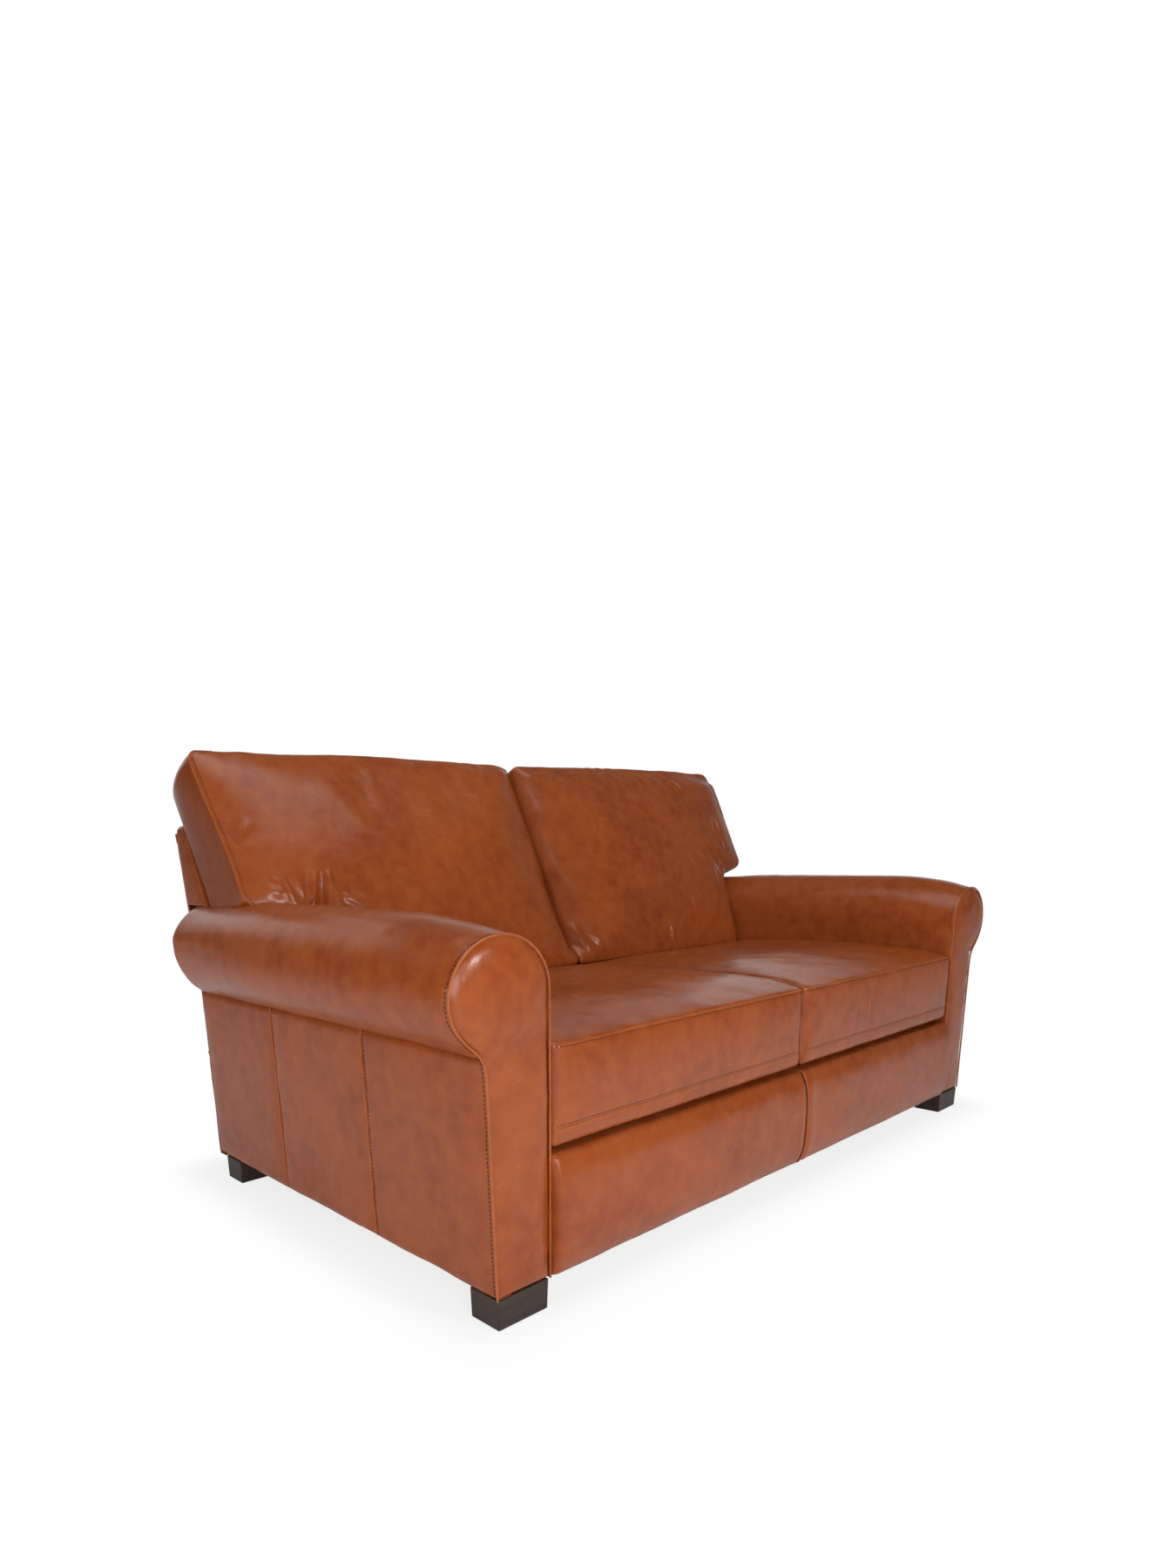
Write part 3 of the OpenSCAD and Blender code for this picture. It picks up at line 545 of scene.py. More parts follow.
def leather_skin(name, node, rows, inside, seams=(), lumps=0.0006, seed=1, capped=False, deep=0.0):
    """A leather skin over a grid of points, in place of a CAD node. It wears pale along the seams.

    capped closes the first and the last row, and deep is how much painted shade darkens it.
    """
    rows = np.asarray(rows, float)
    count, columns = rows.shape[:2]
    points = rows.reshape(-1, 3)
    faces = sheet_faces(count, columns)
    if capped:
        faces += [tuple(range(columns))[::-1], tuple(range((count - 1) * columns, count * columns))]
    obj = make_object(name, points, faces, COGNAC)
    if capped:
        triangulate_large(obj)
    face_away(obj, inside)
    lump = lumps * ripple(points, 0.16, seed) + 0.3 * lumps * ripple(points, 0.04, seed + 9)
    wear = np.zeros(len(points))
    for line in seams:
        gap = distance_to(points, resample(line, 0.003))
        wear = np.maximum(wear, bell(gap / 0.0045))
    write_points(obj.data, points + read_normals(obj.data) * lump[:, None])
    set_marks(obj, seam=wear, deep=np.full(len(points), deep))
    thicken(obj)
    ride_as(obj, "frame", [node])
    return obj


def current_graph():
    graph = bpy.context.evaluated_depsgraph_get()
    graph.update()
    return graph


def shape_of(obj):
    """A BVH tree of the finished surface, to lay seams and stitches on."""
    return BVHTree.FromObject(obj, current_graph())


def lay_on(tree, line, lift):
    """A line's points moved to the nearest place of a surface, and lifted off it."""
    laid = []
    for point in line:
        near, normal, _, _ = tree.find_nearest(Vector(point))
        laid.append(near + normal * lift)
    return np.array([tuple(p) for p in laid])


# ---------------------------------------------------------------- cords and stitches by Geometry Nodes

def path_group(name, spacing, *inputs):
    """A geometry group that works along the lines of a mesh, and those lines as evenly spaced curves."""
    inputs = [("Path", "Geometry", None), *inputs, ("Material", "Material", None)]
    tree, given, result = new_group(name, inputs, [("Geometry", "Geometry")], "GeometryNodeTree")
    lines = add(tree, "GeometryNodeMeshToCurve", {"Mesh": given["Path"]}).outputs["Curve"]
    even = add(tree, "GeometryNodeResampleCurve", {"Curve": lines, "Length": given[spacing]}, mode="LENGTH")
    return tree, given, result, even.outputs["Curve"]


def finish_group(tree, given, result, made):
    """Makes what a group has made real, smooth and painted."""
    real = add(tree, "GeometryNodeRealizeInstances", {"Geometry": made})
    rounded = add(tree, "GeometryNodeSetShadeSmooth", {"Geometry": real.outputs["Geometry"]})
    inputs = {"Geometry": rounded.outputs["Geometry"], "Material": given["Material"]}
    feed(tree, result["Geometry"], add(tree, "GeometryNodeSetMaterial", inputs).outputs["Geometry"])
    return tree


def build_cord_tree():
    """A round cord of leather along each line of the path."""
    tree, given, result, lines = path_group(
        "leather_cord", "Step", ("Radius", "Float", 0.003), ("Step", "Float", 0.005))
    ring = add(tree, "GeometryNodeCurvePrimitiveCircle", {"Resolution": 10, "Radius": given["Radius"]})
    inputs = {"Curve": lines, "Profile Curve": ring.outputs["Curve"], "Fill Caps": True}
    return finish_group(tree, given, result, add(tree, "GeometryNodeCurveToMesh", inputs).outputs["Mesh"])


def build_stitch_tree():
    """Thread stitches along each line of the path: short rounded bars, a little uneven."""
    tree, given, result, lines = path_group(
        "thread_stitches", "Pitch", ("Pitch", "Float", 0.0062), ("Length", "Float", 0.0042),
        ("Thread", "Float", 0.0006), ("Seed", "Int", 3))
    bead = add(tree, "GeometryNodeMeshUVSphere", {"Segments": 6, "Rings": 5, "Radius": 0.5})
    tangent = add(tree, "GeometryNodeInputTangent").outputs["Tangent"]
    turn = add(tree, "FunctionNodeAlignRotationToVector", {"Vector": tangent}, axis="X")
    uneven = add(tree, "FunctionNodeRandomValue", {2: 0.85, 3: 1.12, "Seed": given["Seed"]},
                 data_type="FLOAT")
    longer, across = times(tree, given["Length"], uneven.outputs[1]), times(tree, given["Thread"], 2.0)
    size = add(tree, "ShaderNodeCombineXYZ", {"X": longer, "Y": across, "Z": across})
    place = add(tree, "GeometryNodeInstanceOnPoints", {
        "Points": lines, "Instance": bead.outputs["Mesh"], "Rotation": turn.outputs["Rotation"],
        "Scale": size.outputs["Vector"]})
    return finish_group(tree, given, result, place.outputs["Instances"])


CORD_TREE = build_cord_tree()
STITCH_TREE = build_stitch_tree()


def from_nodes(name, tree, lines, **values):
    """A plain mesh piece that a Geometry Nodes tree makes along lines of points."""
    points, edges = [], []
    for line in lines:
        start = len(points)
        points += [tuple(p) for p in line]
        edges += [(start + i, start + i + 1) for i in range(len(line) - 1)]
    path = bpy.data.meshes.new(name + "_path")
    path.from_pydata(points, edges, [])
    guide = put(name + "_path", path)
    modifier = guide.modifiers.new("nodes", "NODES")
    modifier.node_group = tree
    for item in tree.interface.items_tree:
        if item.in_out == "INPUT" and item.name in values:
            modifier[item.identifier] = values[item.name]
    mesh = bpy.data.meshes.new_from_object(guide.evaluated_get(current_graph()))
    mesh.name = name
    bpy.data.objects.remove(guide)
    bpy.data.meshes.remove(path)
    return put(name, mesh)


def cord(name, lines, radius, body="frame", replaces=()):
    obj = from_nodes(name, CORD_TREE, lines, Radius=radius, Step=0.005, Material=WELT)
    ride_as(obj, body, replaces)
    return obj


def stitches(name, lines, seed, body="frame"):
    obj = from_nodes(name, STITCH_TREE, lines, Pitch=0.0064, Length=0.0046, Thread=0.0009, Seed=seed,
                     Material=THREAD)
    ride_as(obj, body)
    return obj


# ---------------------------------------------------------------- arms

def roll_point(angle, inset):
    return (ROLL_X + (ROLL_RX - inset) * math.cos(angle), ROLL_Z + (ROLL_RZ - inset) * math.sin(angle))


def roll_rise(y, side):
    """How much fuller the top of an arm's roll grows at a distance behind its front seam."""
    full, run = (0.0215, 0.11) if side == LEFT else (0.0260, 0.08)
    grown = 1 - np.exp(-(np.maximum(y, 0) / run) ** 1.4)
    return full * grown * (1 - 0.3 * smooth((y - 0.55) / 0.30))


OUTLINE_STEP = 0.002        # between the points of a fine outline
BRIDGE = 0.019              # how softly the leather bridges the crease under the roll


def crease_angle(inset):
    return math.acos((WALL_TOP_X - inset - ROLL_X) / (ROLL_RX - inset))


def crease_path(inset, sole):
    last = -crease_angle(inset)
    arc = [roll_point(a, inset) for a in np.linspace(math.pi, last, 80)]
    return resample([(HALF_IN + inset, FOOT_H + sole)] + arc + [(WALL_BASE_X - inset, FOOT_H + sole)],
                    OUTLINE_STEP)


def softened(line, corner):
    """A line with its corner eased into a smooth bend, as leather bridges it."""
    gap = np.linalg.norm(line - corner, axis=1)
    reach = 40
    weight = np.exp(-(np.arange(-reach, reach + 1) * OUTLINE_STEP / BRIDGE) ** 2 / 2)
    weight /= weight.sum()
    padded = np.pad(line, ((reach, reach), (0, 0)), mode="edge")
    eased = np.array([np.convolve(padded[:, k], weight, mode="valid") for k in (0, 1)]).T
    share = smooth((0.088 - gap) / 0.042)[:, None]
    return line + (eased - line) * share


def arm_outline(inset, step=0.006, sole=0.0):
    """Outline of the right arm from its inner foot, over the roll, to its outer foot, as x and z."""
    corner = np.array(roll_point(-crease_angle(inset), inset))
    return resample(softened(crease_path(inset, sole), corner), step)


def build_crease_shift():
    """How far the eased bend under the roll leaves the sharp crease, by the distance along the outline."""
    line = crease_path(0, 0)
    corner = np.array((WALL_TOP_X, CREASE_Z))
    eased = softened(line, corner)
    at = int(np.argmin(np.linalg.norm(line - corner, axis=1)))
    along = (np.arange(len(line)) - at) * OUTLINE_STEP
    return along, eased - line


CREASE_RUN, CREASE_SHIFT = build_crease_shift()


def crease_shift(along, y):
    """Shift in x and z at a distance along the outline from the crease.

    It dies away behind the front seam.
    """
    fade = np.exp(-np.maximum(0, y - FRONT_Y) / 0.060)
    return np.column_stack([np.interp(along, CREASE_RUN, CREASE_SHIFT[:, k], 0, 0) * fade for k in (0, 1)])


def mirrored(points, side):
    points = np.array(points, float)
    points[..., 0] *= side
    return points


# small pinches of the roll's leather beside the front seam: angle round the roll, and height
ROLL_PINCHES = {
    LEFT: [(0.20, 0.0016), (0.30, -0.0014), (0.40, 0.0018), (0.55, -0.0012), (0.66, 0.0015), (0.95, 0.0009)],
    RIGHT: [(2.62, 0.0012), (2.75, -0.0010), (2.88, 0.0013), (0.45, 0.0010)]}


def round_off(share):
    """How far a quarter round has left its plane, as a share of its radius, from 0 at its start to 1."""
    return 1 - math.sqrt(max(0.0, 1 - share * share))


def arm_cover(side):
    """The leather over the inside arm and the roll, gathered at its front seam and rounded at the rear."""
    end = -CREASE_ANGLE
    wall = [(HALF_IN, z) for z in np.linspace(FOOT_H, ROLL_Z, 38)[:-1]]
    arc = [roll_point(a, 0) for a in np.linspace(math.pi, end, 92)]
    tuck = [(WALL_TOP_X - 0.003, CREASE_Z + 0.0015), (WALL_TOP_X - 0.010, CREASE_Z + 0.004)]
    path = np.array(wall + arc + tuck)
    on_roll = np.clip((np.arange(len(path)) - len(wall)) / 24, 0, 1)
    run = run_along(path)
    y0 = FRONT_Y + ARM_FRONT_GAP
    round_r = 0.022
    near = np.cumsum(np.linspace(0, 0.0045, 14))
    deep = np.linspace(near[-1] + 0.009, ARM_BACK_Y - round_r - y0, 66)
    curl = [ARM_BACK_Y - y0 - round_r * (1 - math.sin(a)) for a in np.linspace(0, math.pi / 2, 9)[1:]]
    centre = np.array([ROLL_X, ROLL_Z])
    rows = []
    for y in list(near) + list(deep) + curl:
        gather = math.exp(-y / 0.011)
        t = max(0.0, (y0 + y - (ARM_BACK_Y - round_r)) / round_r)
        inset = 0.0032 * gather - 0.0022 * (1 - math.exp(-y / 0.05)) + round_r * round_off(t)
        away = path - centre
        away = away / np.linalg.norm(away, axis=1)[:, None]
        out = -inset * on_roll
        # small gathers fan back from the front seam
        fan = math.exp(-y / 0.020) * (1 - math.exp(-y / 0.004))
        wave = np.sin(run / 0.0105 + 2.2 * np.sin(run / 0.047))
        wave = wave * (0.35 + 0.65 * np.sin(run / 0.083 + side) ** 2)
        out = out + 0.0006 * fan * wave * on_roll
        angle = np.arctan2(away[:, 1], away[:, 0])
        pinch = sum(h * bell((angle - a) / 0.030) for a, h in ROLL_PINCHES[side])
        out = out + pinch * on_roll * bell((y - 0.010) / 0.011)
        section = path + away * out[:, None] + crease_shift(run - run[len(wall) + len(arc) - 1], y0 + y)
        # towards the rear the outer half of the roll sinks in under its top
        under = np.sin(math.pi * np.clip((0.35 - angle) / (0.35 + CREASE_ANGLE), 0, 1))
        under = under * (angle > -CREASE_ANGLE)
        section[:, 0] -= 0.012 * smooth((y - 0.50) / 0.35) * under * on_roll
        section[:, 1] += roll_rise(y, side) * np.clip((section[:, 1] - ROLL_Z) / ROLL_RZ, 0, 1)
        rows.append(np.column_stack([section[:, 0], np.full(len(path), y0 + y), section[:, 1]]))
    rim = rows[-1]
    for share in (0.75, 0.45, 0.15):
        row = rim.copy()
        row[:, 0] = ROLL_X + (rim[:, 0] - ROLL_X) * share
        row[:, 2] = np.where(rim[:, 2] > CREASE_Z, ROLL_Z + (rim[:, 2] - ROLL_Z) * share, rim[:, 2])
        row[:, 1] += 0.0005 * (1 - share)
        rows.append(row)
    name = SIDE_NAMES[side]
    inside = (side * ROLL_X, 0, ROLL_Z)
    front = np.column_stack([path[:, 0], np.full(len(path), y0), path[:, 1]])
    return leather_skin(f"{name}_arm_leather", f"{name}_arm_cover", mirrored(rows, side), inside,
                        [mirrored(front, side)], 0.0007, 20 + side)


def front_panel(side):
    """The padded panel on the front of an arm: domed over the roll, flatter down the leg."""
    rings = []
    insets = [0.0035, 0.0050, 0.0068, 0.0092, 0.0125, 0.017, 0.023, 0.030, 0.038, 0.046, 0.053]
    step = 0.0055
    count = len(arm_outline(insets[0], step))
    for inset in insets:
        line = arm_outline(inset, step, sole=0.55 * inset)
        at = np.linspace(0, len(line) - 1, count)
        line = np.column_stack([np.interp(at, np.arange(len(line)), line[:, k]) for k in (0, 1)])
        rise = 1 - math.exp(-(inset - insets[0]) / 0.009)
        y = FRONT_Y + 0.0062 - 0.0070 * rise
        rings.append(np.column_stack([line[:, 0], np.full(count, y), line[:, 1]]))
    points = np.concatenate(rings)
    # a broad dome over the roll
    gap = np.hypot((points[:, 0] - ROLL_X) / ROLL_RX, (points[:, 2] - ROLL_Z) / ROLL_RZ)
    points[:, 1] -= 0.0095 * np.clip(1 - gap ** 2, 0, 1) ** 1.2
    faces = sheet_faces(len(rings), count)
    # the open bottom edge of the rings, and the middle of the panel
    last = (len(rings) - 1) * count
    faces.append(tuple(range(last, last + count)))
    for r in range(len(rings) - 1):
        a, b = r * count, (r + 1) * count
        faces.append((a + count - 1, a, b, b + count - 1))
    points = mirrored(points, side)
    name = SIDE_NAMES[side]
    obj = make_object(f"{name}_arm_front_leather", points, faces, COGNAC)
    face_away(obj, (side * ROLL_X, FRONT_Y + 0.5, 0.3))
    triangulate_large(obj)
    points = read_points(obj.data)
    push = 0.0006 * ripple(points, 0.13, 31 + side) + 0.0002 * ripple(points, 0.03, 35 + side)
    points[:, 1] -= push
    write_points(obj.data, points)
    rim = mirrored(rings[0], side)
    set_marks(obj, seam=bell(distance_to(points, rim) / 0.0035))
    thicken(obj)
    ride_as(obj, "frame", [f"{name}_arm_front_panel"])
    return obj


def arm_welt(side):
    line = arm_outline(0.0016, 0.005)
    path = np.column_stack([line[:, 0], np.full(len(line), FRONT_Y + 0.0030), line[:, 1]])
    name = SIDE_NAMES[side]
    return cord(f"{name}_arm_welt_cord", [mirrored(path, side)], WELT_R, replaces=[f"{name}_arm_welt"])


SEAM_GAP = 0.0008           # from a seam's line to the edge of a panel


def crowded(start, end, count):
    """Places from start to end that stand closer together at both ends."""
    return start + (end - start) * (1 - np.cos(np.linspace(0, math.pi, count))) / 2


def outside_panel(side, index, y0, y1):
    """One panel of the outside arm, crowned a little and folded under at the bottom."""
    ys = crowded(y0 + SEAM_GAP, y1 - SEAM_GAP, 44)
    heights = crowded(CREASE_Z + 0.006, FOOT_H + 0.010, 40)
    rows = []
    for y in ys:
        t = 2 * (y - y0) / (y1 - y0) - 1
        row = []
        for z in heights:
            v = 2 * (z - FOOT_H) / (CREASE_Z - FOOT_H) - 1
            wall = WALL_BASE_X + (WALL_TOP_X - WALL_BASE_X) * (v + 1) / 2
            crown = 0.0030 * (1 - abs(t) ** 10) * (1 - min(1, abs(v)) ** 8) - 0.0026
            fold = 0.007 * max(0, (v - 0.93) / 0.07) ** 2
            shift = crease_shift(np.array([CREASE_Z - z]), y)[0]
            row.append((wall + crown - fold + shift[0], y, z + shift[1]))
        for angle in np.linspace(0.3, math.pi / 2, 5):
            under = FOOT_H - 0.0014 + 0.0094 * (1 - math.sin(angle))
            row.append((WALL_BASE_X - 0.0026 - 0.008 * (1 - math.cos(angle)), y, under))
        row += [(WALL_BASE_X - 0.030, y, FOOT_H - 0.0014), (WALL_BASE_X - 0.031, y, FOOT_H + 0.0010)]
        rows.append(row)
    part = ("front", "middle", "rear")[index]
    name = SIDE_NAMES[side]
    lines = [[(WALL_TOP_X, y, CREASE_Z), (WALL_BASE_X, y, FOOT_H)] for y in (y0, y1)]
    return leather_skin(f"{name}_outside_{part}_leather", f"{name}_outside_{part}", mirrored(rows, side),
                        (0, 0, 0.3), [mirrored(line, side) for line in lines], seed=40 + 3 * index + side)


def outside_seams(side):
    """The two upright seams of the outside arm: a folded edge that stands up a little, and its stitches."""
    folds, rows = [], []
    for y in (SEAM_1_Y, SEAM_2_Y):
        line = resample([(WALL_TOP_X - 0.004, y - 0.002, CREASE_Z + 0.006),
                         (WALL_TOP_X - 0.0020, y, CREASE_Z - 0.02),
                         (WALL_BASE_X - 0.0020, y, FOOT_H + 0.004),
                         (WALL_BASE_X - 0.009, y, FOOT_H + 0.001)], 0.006)
        folds.append(mirrored(line, side))
        if y == SEAM_1_Y:
            row = line[3:-2] + np.array([0.0023, -0.0065, 0])
            rows.append(mirrored(row, side))
    return folds, rows


def beside_front_seam(side):
    """The line of stitches on the arm, behind its front welt."""
    line = arm_outline(-0.0002, 0.005)
    line = line[(line[:, 1] > ROLL_Z - 0.02) | (line[:, 0] > ROLL_X)]
    return mirrored(np.column_stack([line[:, 0], np.full(len(line), FRONT_Y + 0.0095), line[:, 1]]), side)


def build_arm(side):
    cover = arm_cover(side)
    front_panel(side)
    arm_welt(side)
    spans = ((FRONT_Y + ARM_FRONT_GAP, SEAM_1_Y), (SEAM_1_Y, SEAM_2_Y), (SEAM_2_Y, ARM_BACK_Y))
    skins = [outside_panel(side, i, *ends) for i, ends in enumerate(spans)]
    folds, rows = outside_seams(side)
    name = SIDE_NAMES[side]
    cord(f"{name}_outside_seam_folds", folds, 0.0016)
    roll = shape_of(cover)
    wall = shape_of(skins[0])
    row = beside_front_seam(side)
    laid = [lay_on(roll, row[row[:, 2] > CREASE_Z + 0.004], 0.0004),
            lay_on(wall, row[row[:, 2] < CREASE_Z - 0.008], 0.0004)]
    laid += [lay_on(wall, row, 0.0002) for row in rows]
    stitches(f"{name}_arm_stitches", laid, 5)


# ---------------------------------------------------------------- front rail

def rail_profile():
    """Section of the front rail's leather, from under the rail, over its crowned face, to its cap."""
    under = [(0.033, FOOT_H + 0.0005), (0.020, FOOT_H), (0.008, FOOT_H + 0.0005)]
    face = [(-RAIL_CROWN * (1 - abs(t) ** 3.6), FOOT_H + (RAIL_TOP - FOOT_H) * (t + 1) / 2)
            for t in np.linspace(-0.985, 0.97, 34)]
    cap = [(0.004, RAIL_TOP - 0.0005), (0.014, RAIL_TOP), (0.030, RAIL_TOP), (0.045, RAIL_TOP - 0.001)]
    return resample([(FRONT_Y + y, z) for y, z in under + face + cap], 0.006)


def rail_cover(side):
    profile = rail_profile()
    end_r = 0.010
    ends = [HALF_IN - 0.0006 - end_r * (1 - math.sin(a)) for a in np.linspace(0, math.pi / 2, 8)]
    by_seam = np.cumsum(np.r_[0.0006, np.linspace(0.001, 0.006, 9)])
    xs = np.r_[by_seam, np.linspace(0.045, HALF_IN - 0.018, 68), ends]
    bend = FRONT_Y + 0.009
    rows = []
    for x in xs:
        # the panel rolls in at both ends: to the centre seam, and back to the arm's front
        tuck = 0.0050 * math.exp(-x / 0.0045)
        full = 0.0018 * bell((x - 0.018) / 0.012)
        back = round_off(max(0.0, (x - ends[0]) / end_r))
        row = []
        for y, z in profile:
            if y < bend:
                y = y + tuck - full
                y = y + (bend - y) * back
            row.append((x, y, z))
        rows.append(row)
    name = SIDE_NAMES[side]
    seam = [(0, y, z) for y, z in profile]
    return leather_skin(f"{name}_rail_leather", f"{name}_rail_cover", mirrored(rows, side),
                        (side * 0.36, FRONT_Y + 0.03, 0.15), [seam], seed=60 + side)


def build_rail():
    skins = {side: rail_cover(side) for side in (LEFT, RIGHT)}
    profile = rail_profile()
    face = [(y, z) for y, z in profile if y < FRONT_Y + 0.004]
    fold = [(0.0, y - 0.0002, z) for y, z in face]
    cord("rail_seam_fold", [fold], 0.0018)
    row = np.array([(-0.0085, y - 0.003, z) for y, z in face[1:-1]])
    stitches("rail_stitches", [lay_on(shape_of(skins[LEFT]), row, 0.0002)], 8)


# ---------------------------------------------------------------- back frame

def back_frame():
    """The leather over the front, the top and the ends of the back frame, open behind the outside back."""
    end_r = 0.012
    low_in, low_out = RAIL_TOP, ARM_H + 0.0012

    def section(inset, low):
        z_round = BACK_H - BACK_TOP_R
        radius = BACK_TOP_R - inset
        front = inside_y(z_round) + BACK_TOP_R / math.cos(BACK_RAKE)
        rear = outside_y(z_round) - BACK_TOP_R / math.cos(OUTSIDE_RAKE) - 0.004
        line = [(inside_y(z) + inset / math.cos(BACK_RAKE), z)
                for z in np.linspace(low + inset, z_round - 0.012, 36)]
        line += [(front + radius * math.cos(a), z_round + radius * math.sin(a))
                 for a in np.linspace(math.pi - BACK_RAKE, math.pi / 2, 7)]
        line += [(rear + radius * math.cos(a), z_round + radius * math.sin(a))
                 for a in np.linspace(math.pi / 2, -OUTSIDE_RAKE, 9)]
        line += [(outside_y(z) - inset / math.cos(OUTSIDE_RAKE) - 0.004, z)
                 for z in np.linspace(z_round - 0.014, max(low, ARM_H) + inset, 10)]
        return line

    half = WALL_TOP_X
    turn = np.linspace(0, math.pi / 2, 7)
    ends = [(half - end_r * (1 - math.sin(a)), end_r * (1 - math.cos(a))) for a in turn]
    step = HALF_IN - 0.002
    beside = 0.0001
    middle = np.r_[np.linspace(-half + 0.03, -step - beside, 8),
                   np.linspace(-step + beside, step - beside, 120),
                   np.linspace(step + beside, half - 0.03, 8)]
    places = [(-x, inset) for x, inset in ends[::-1]] + [(x, 0.0) for x in middle] + ends
    rows = [[(x, y, z) for y, z in section(inset, low_in if abs(x) < step else low_out)]
            for x, inset in places]
    edges = [[(side * (half - 0.0035), float(inside_y(z)) + 0.0035, z)
              for z in np.linspace(low_out, BACK_H - 0.02, 40)] for side in (LEFT, RIGHT)]
    # painted shade darkens the whole back frame by half
    obj = leather_skin("back_frame_leather", "back_frame_cover", rows, (0, float(inside_y(0.6)) + 0.03, 0.55),
                       edges, seed=71, capped=True, deep=0.5)
    tree = shape_of(obj)
    cord("back_frame_seam_folds", [lay_on(tree, edge, 0.0) for edge in edges], 0.0011)


def outside_back_panel(x0, x1, node, seed):
    """One panel of the outside back, crowned a little, tucked in at the top and folded under at the foot."""
    top = BACK_H - 0.017
    rows = []
    for x in crowded(x0 + SEAM_GAP, x1 - SEAM_GAP, 60):
        t = 2 * (x - x0) / (x1 - x0) - 1
        foot = np.clip(x, -WALL_BASE_X + 0.003, WALL_BASE_X - 0.003)
        row = [(foot, ARM_DEPTH_Y - 0.030, FOOT_H), (foot, ARM_DEPTH_Y - 0.006, FOOT_H),
               (foot, ARM_DEPTH_Y - 0.0015, FOOT_H + 0.002)]
        for z in np.linspace(FOOT_H + 0.006, top, 84):
            v = 2 * (z - FOOT_H) / (top - FOOT_H) - 1
            crown = 0.0030 * (1 - abs(t) ** 12) * (1 - abs(v) ** 12) - 0.0022
            # the ends narrow down the outside of the arms
            limit = WALL_BASE_X + ARM_LEAN * min(1, (z - FOOT_H) / (CREASE_Z - FOOT_H)) - 0.003
            row.append((np.clip(x, -limit, limit), float(outside_y(z)) + crown, z))
        edge = np.clip(x, -WALL_TOP_X + 0.003, WALL_TOP_X - 0.003)
        plane = float(outside_y(top))
        row += [(edge, plane - 0.006, top + 0.0015), (edge, plane - 0.014, top)]
        rows.append(row)
    lines = [[(x, float(outside_y(z)), z) for z in (FOOT_H, CREASE_Z, top)] for x in (x0, x1)]
    return leather_skin(f"{node}_leather", node, rows, ((x0 + x1) / 2, 0, 0.3), lines, 0.0007, seed)


def build_outside_back():
    outside_back_panel(-WALL_TOP_X, -BACK_SEAM_X, "outside_back_left", 80)
    center = outside_back_panel(-BACK_SEAM_X, BACK_SEAM_X, "outside_back_center", 81)
    outside_back_panel(BACK_SEAM_X, WALL_TOP_X, "outside_back_right", 82)
    tree = shape_of(center)
    heights = np.linspace(FOOT_H + 0.012, BACK_H - 0.024, 90)
    folds, rows = [], []
    for side in (LEFT, RIGHT):
        folds.append([(side * BACK_SEAM_X, float(outside_y(z)) - 0.0012, z) for z in heights])
        row = np.array([(side * (BACK_SEAM_X - 0.008), float(outside_y(z)) + 0.004, z) for z in heights])
        rows.append(lay_on(tree, row, 0.0002))
    cord("outside_back_seam_folds", folds, 0.0013)
    stitches("outside_back_stitches", rows, 12)


# ---------------------------------------------------------------- cushions

def copy_solid(node, turn):
    """A CAD solid's own mesh, with its loose triangles joined, turned so that its faces are square."""
    mesh = frame["nodes"][node].data.copy()
    with opened(mesh) as bm:
        bmesh.ops.remove_doubles(bm, verts=bm.verts, dist=1e-5)
        bm.transform(turn)
    return put(node + "_leather", mesh)


def bake(obj):
    """Applies obj's modifiers to its mesh."""
    mesh = bpy.data.meshes.new_from_object(obj.evaluated_get(current_graph()))
    old = obj.data
    obj.modifiers.clear()
    obj.data = mesh
    bpy.data.meshes.remove(old)


CLOTH_FACE = 0.008          # size of the faces that the leather is blown up with


def remesh(obj):
    """Even small faces all over a solid, for the cloth."""
    modifier = obj.modifiers.new("even", "REMESH")
    modifier.mode = "VOXEL"
    modifier.voxel_size = CLOTH_FACE
    modifier.use_smooth_shade = True
    bake(obj)


LEATHER_CLOTH = {
    "quality": 6, "mass": 0.5, "tension_stiffness": 18, "compression_stiffness": 18, "shear_stiffness": 9,
    "bending_stiffness": 6.0, "air_damping": 1.5, "vertex_group_mass": "seams", "pin_stiffness": 1.0,
    "use_pressure": True, "uniform_pressure_force": 4.0}
SWELL_MOST = 0.026          # the furthest that the leather swells from its case
SWELL_STEPS = 20


def blow_up(obj, slack):
    """The points of a leather case after a cloth simulation under pressure."""
    modifier = obj.modifiers.new("leather", "CLOTH")
    for key, value in LEATHER_CLOTH.items():
        setattr(modifier.settings, key, value)
    modifier.settings.shrink_min = -slack
    modifier.settings.effector_weights.gravity = 0
    modifier.collision_settings.use_collision = False
    modifier.point_cache.frame_start = 1
    modifier.point_cache.frame_end = SWELL_STEPS
    scene = bpy.context.scene
    for step in range(1, SWELL_STEPS + 1):
        scene.frame_set(step)
    moved = read_points(obj.evaluated_get(bpy.context.evaluated_depsgraph_get()).to_mesh())
    obj.modifiers.remove(modifier)
    scene.frame_set(1)
    return moved


def swell(obj, held, slack, evened):
    """Blows up a leather case. held is how firmly each point stays, 0 to 1."""
    start = read_points(obj.data)
    groups = obj.vertex_groups.new(name="seams"), obj.vertex_groups.new(name="free")
    for i, share in enumerate(held):
        groups[0].add([i], float(share), "REPLACE")
        groups[1].add([i], float(1 - share), "REPLACE")
    shift = blow_up(obj, slack) - start
    reach = np.linalg.norm(shift, axis=1)[:, None]
    write_points(obj.data, start + shift * np.minimum(1, SWELL_MOST / np.maximum(reach, 1e-9)))
    # the padding evens out the smallest creases
    even = obj.modifiers.new("even", "SMOOTH")
    even.factor = 0.5
    even.iterations = evened
    even.vertex_group = "free"
    bake(obj)


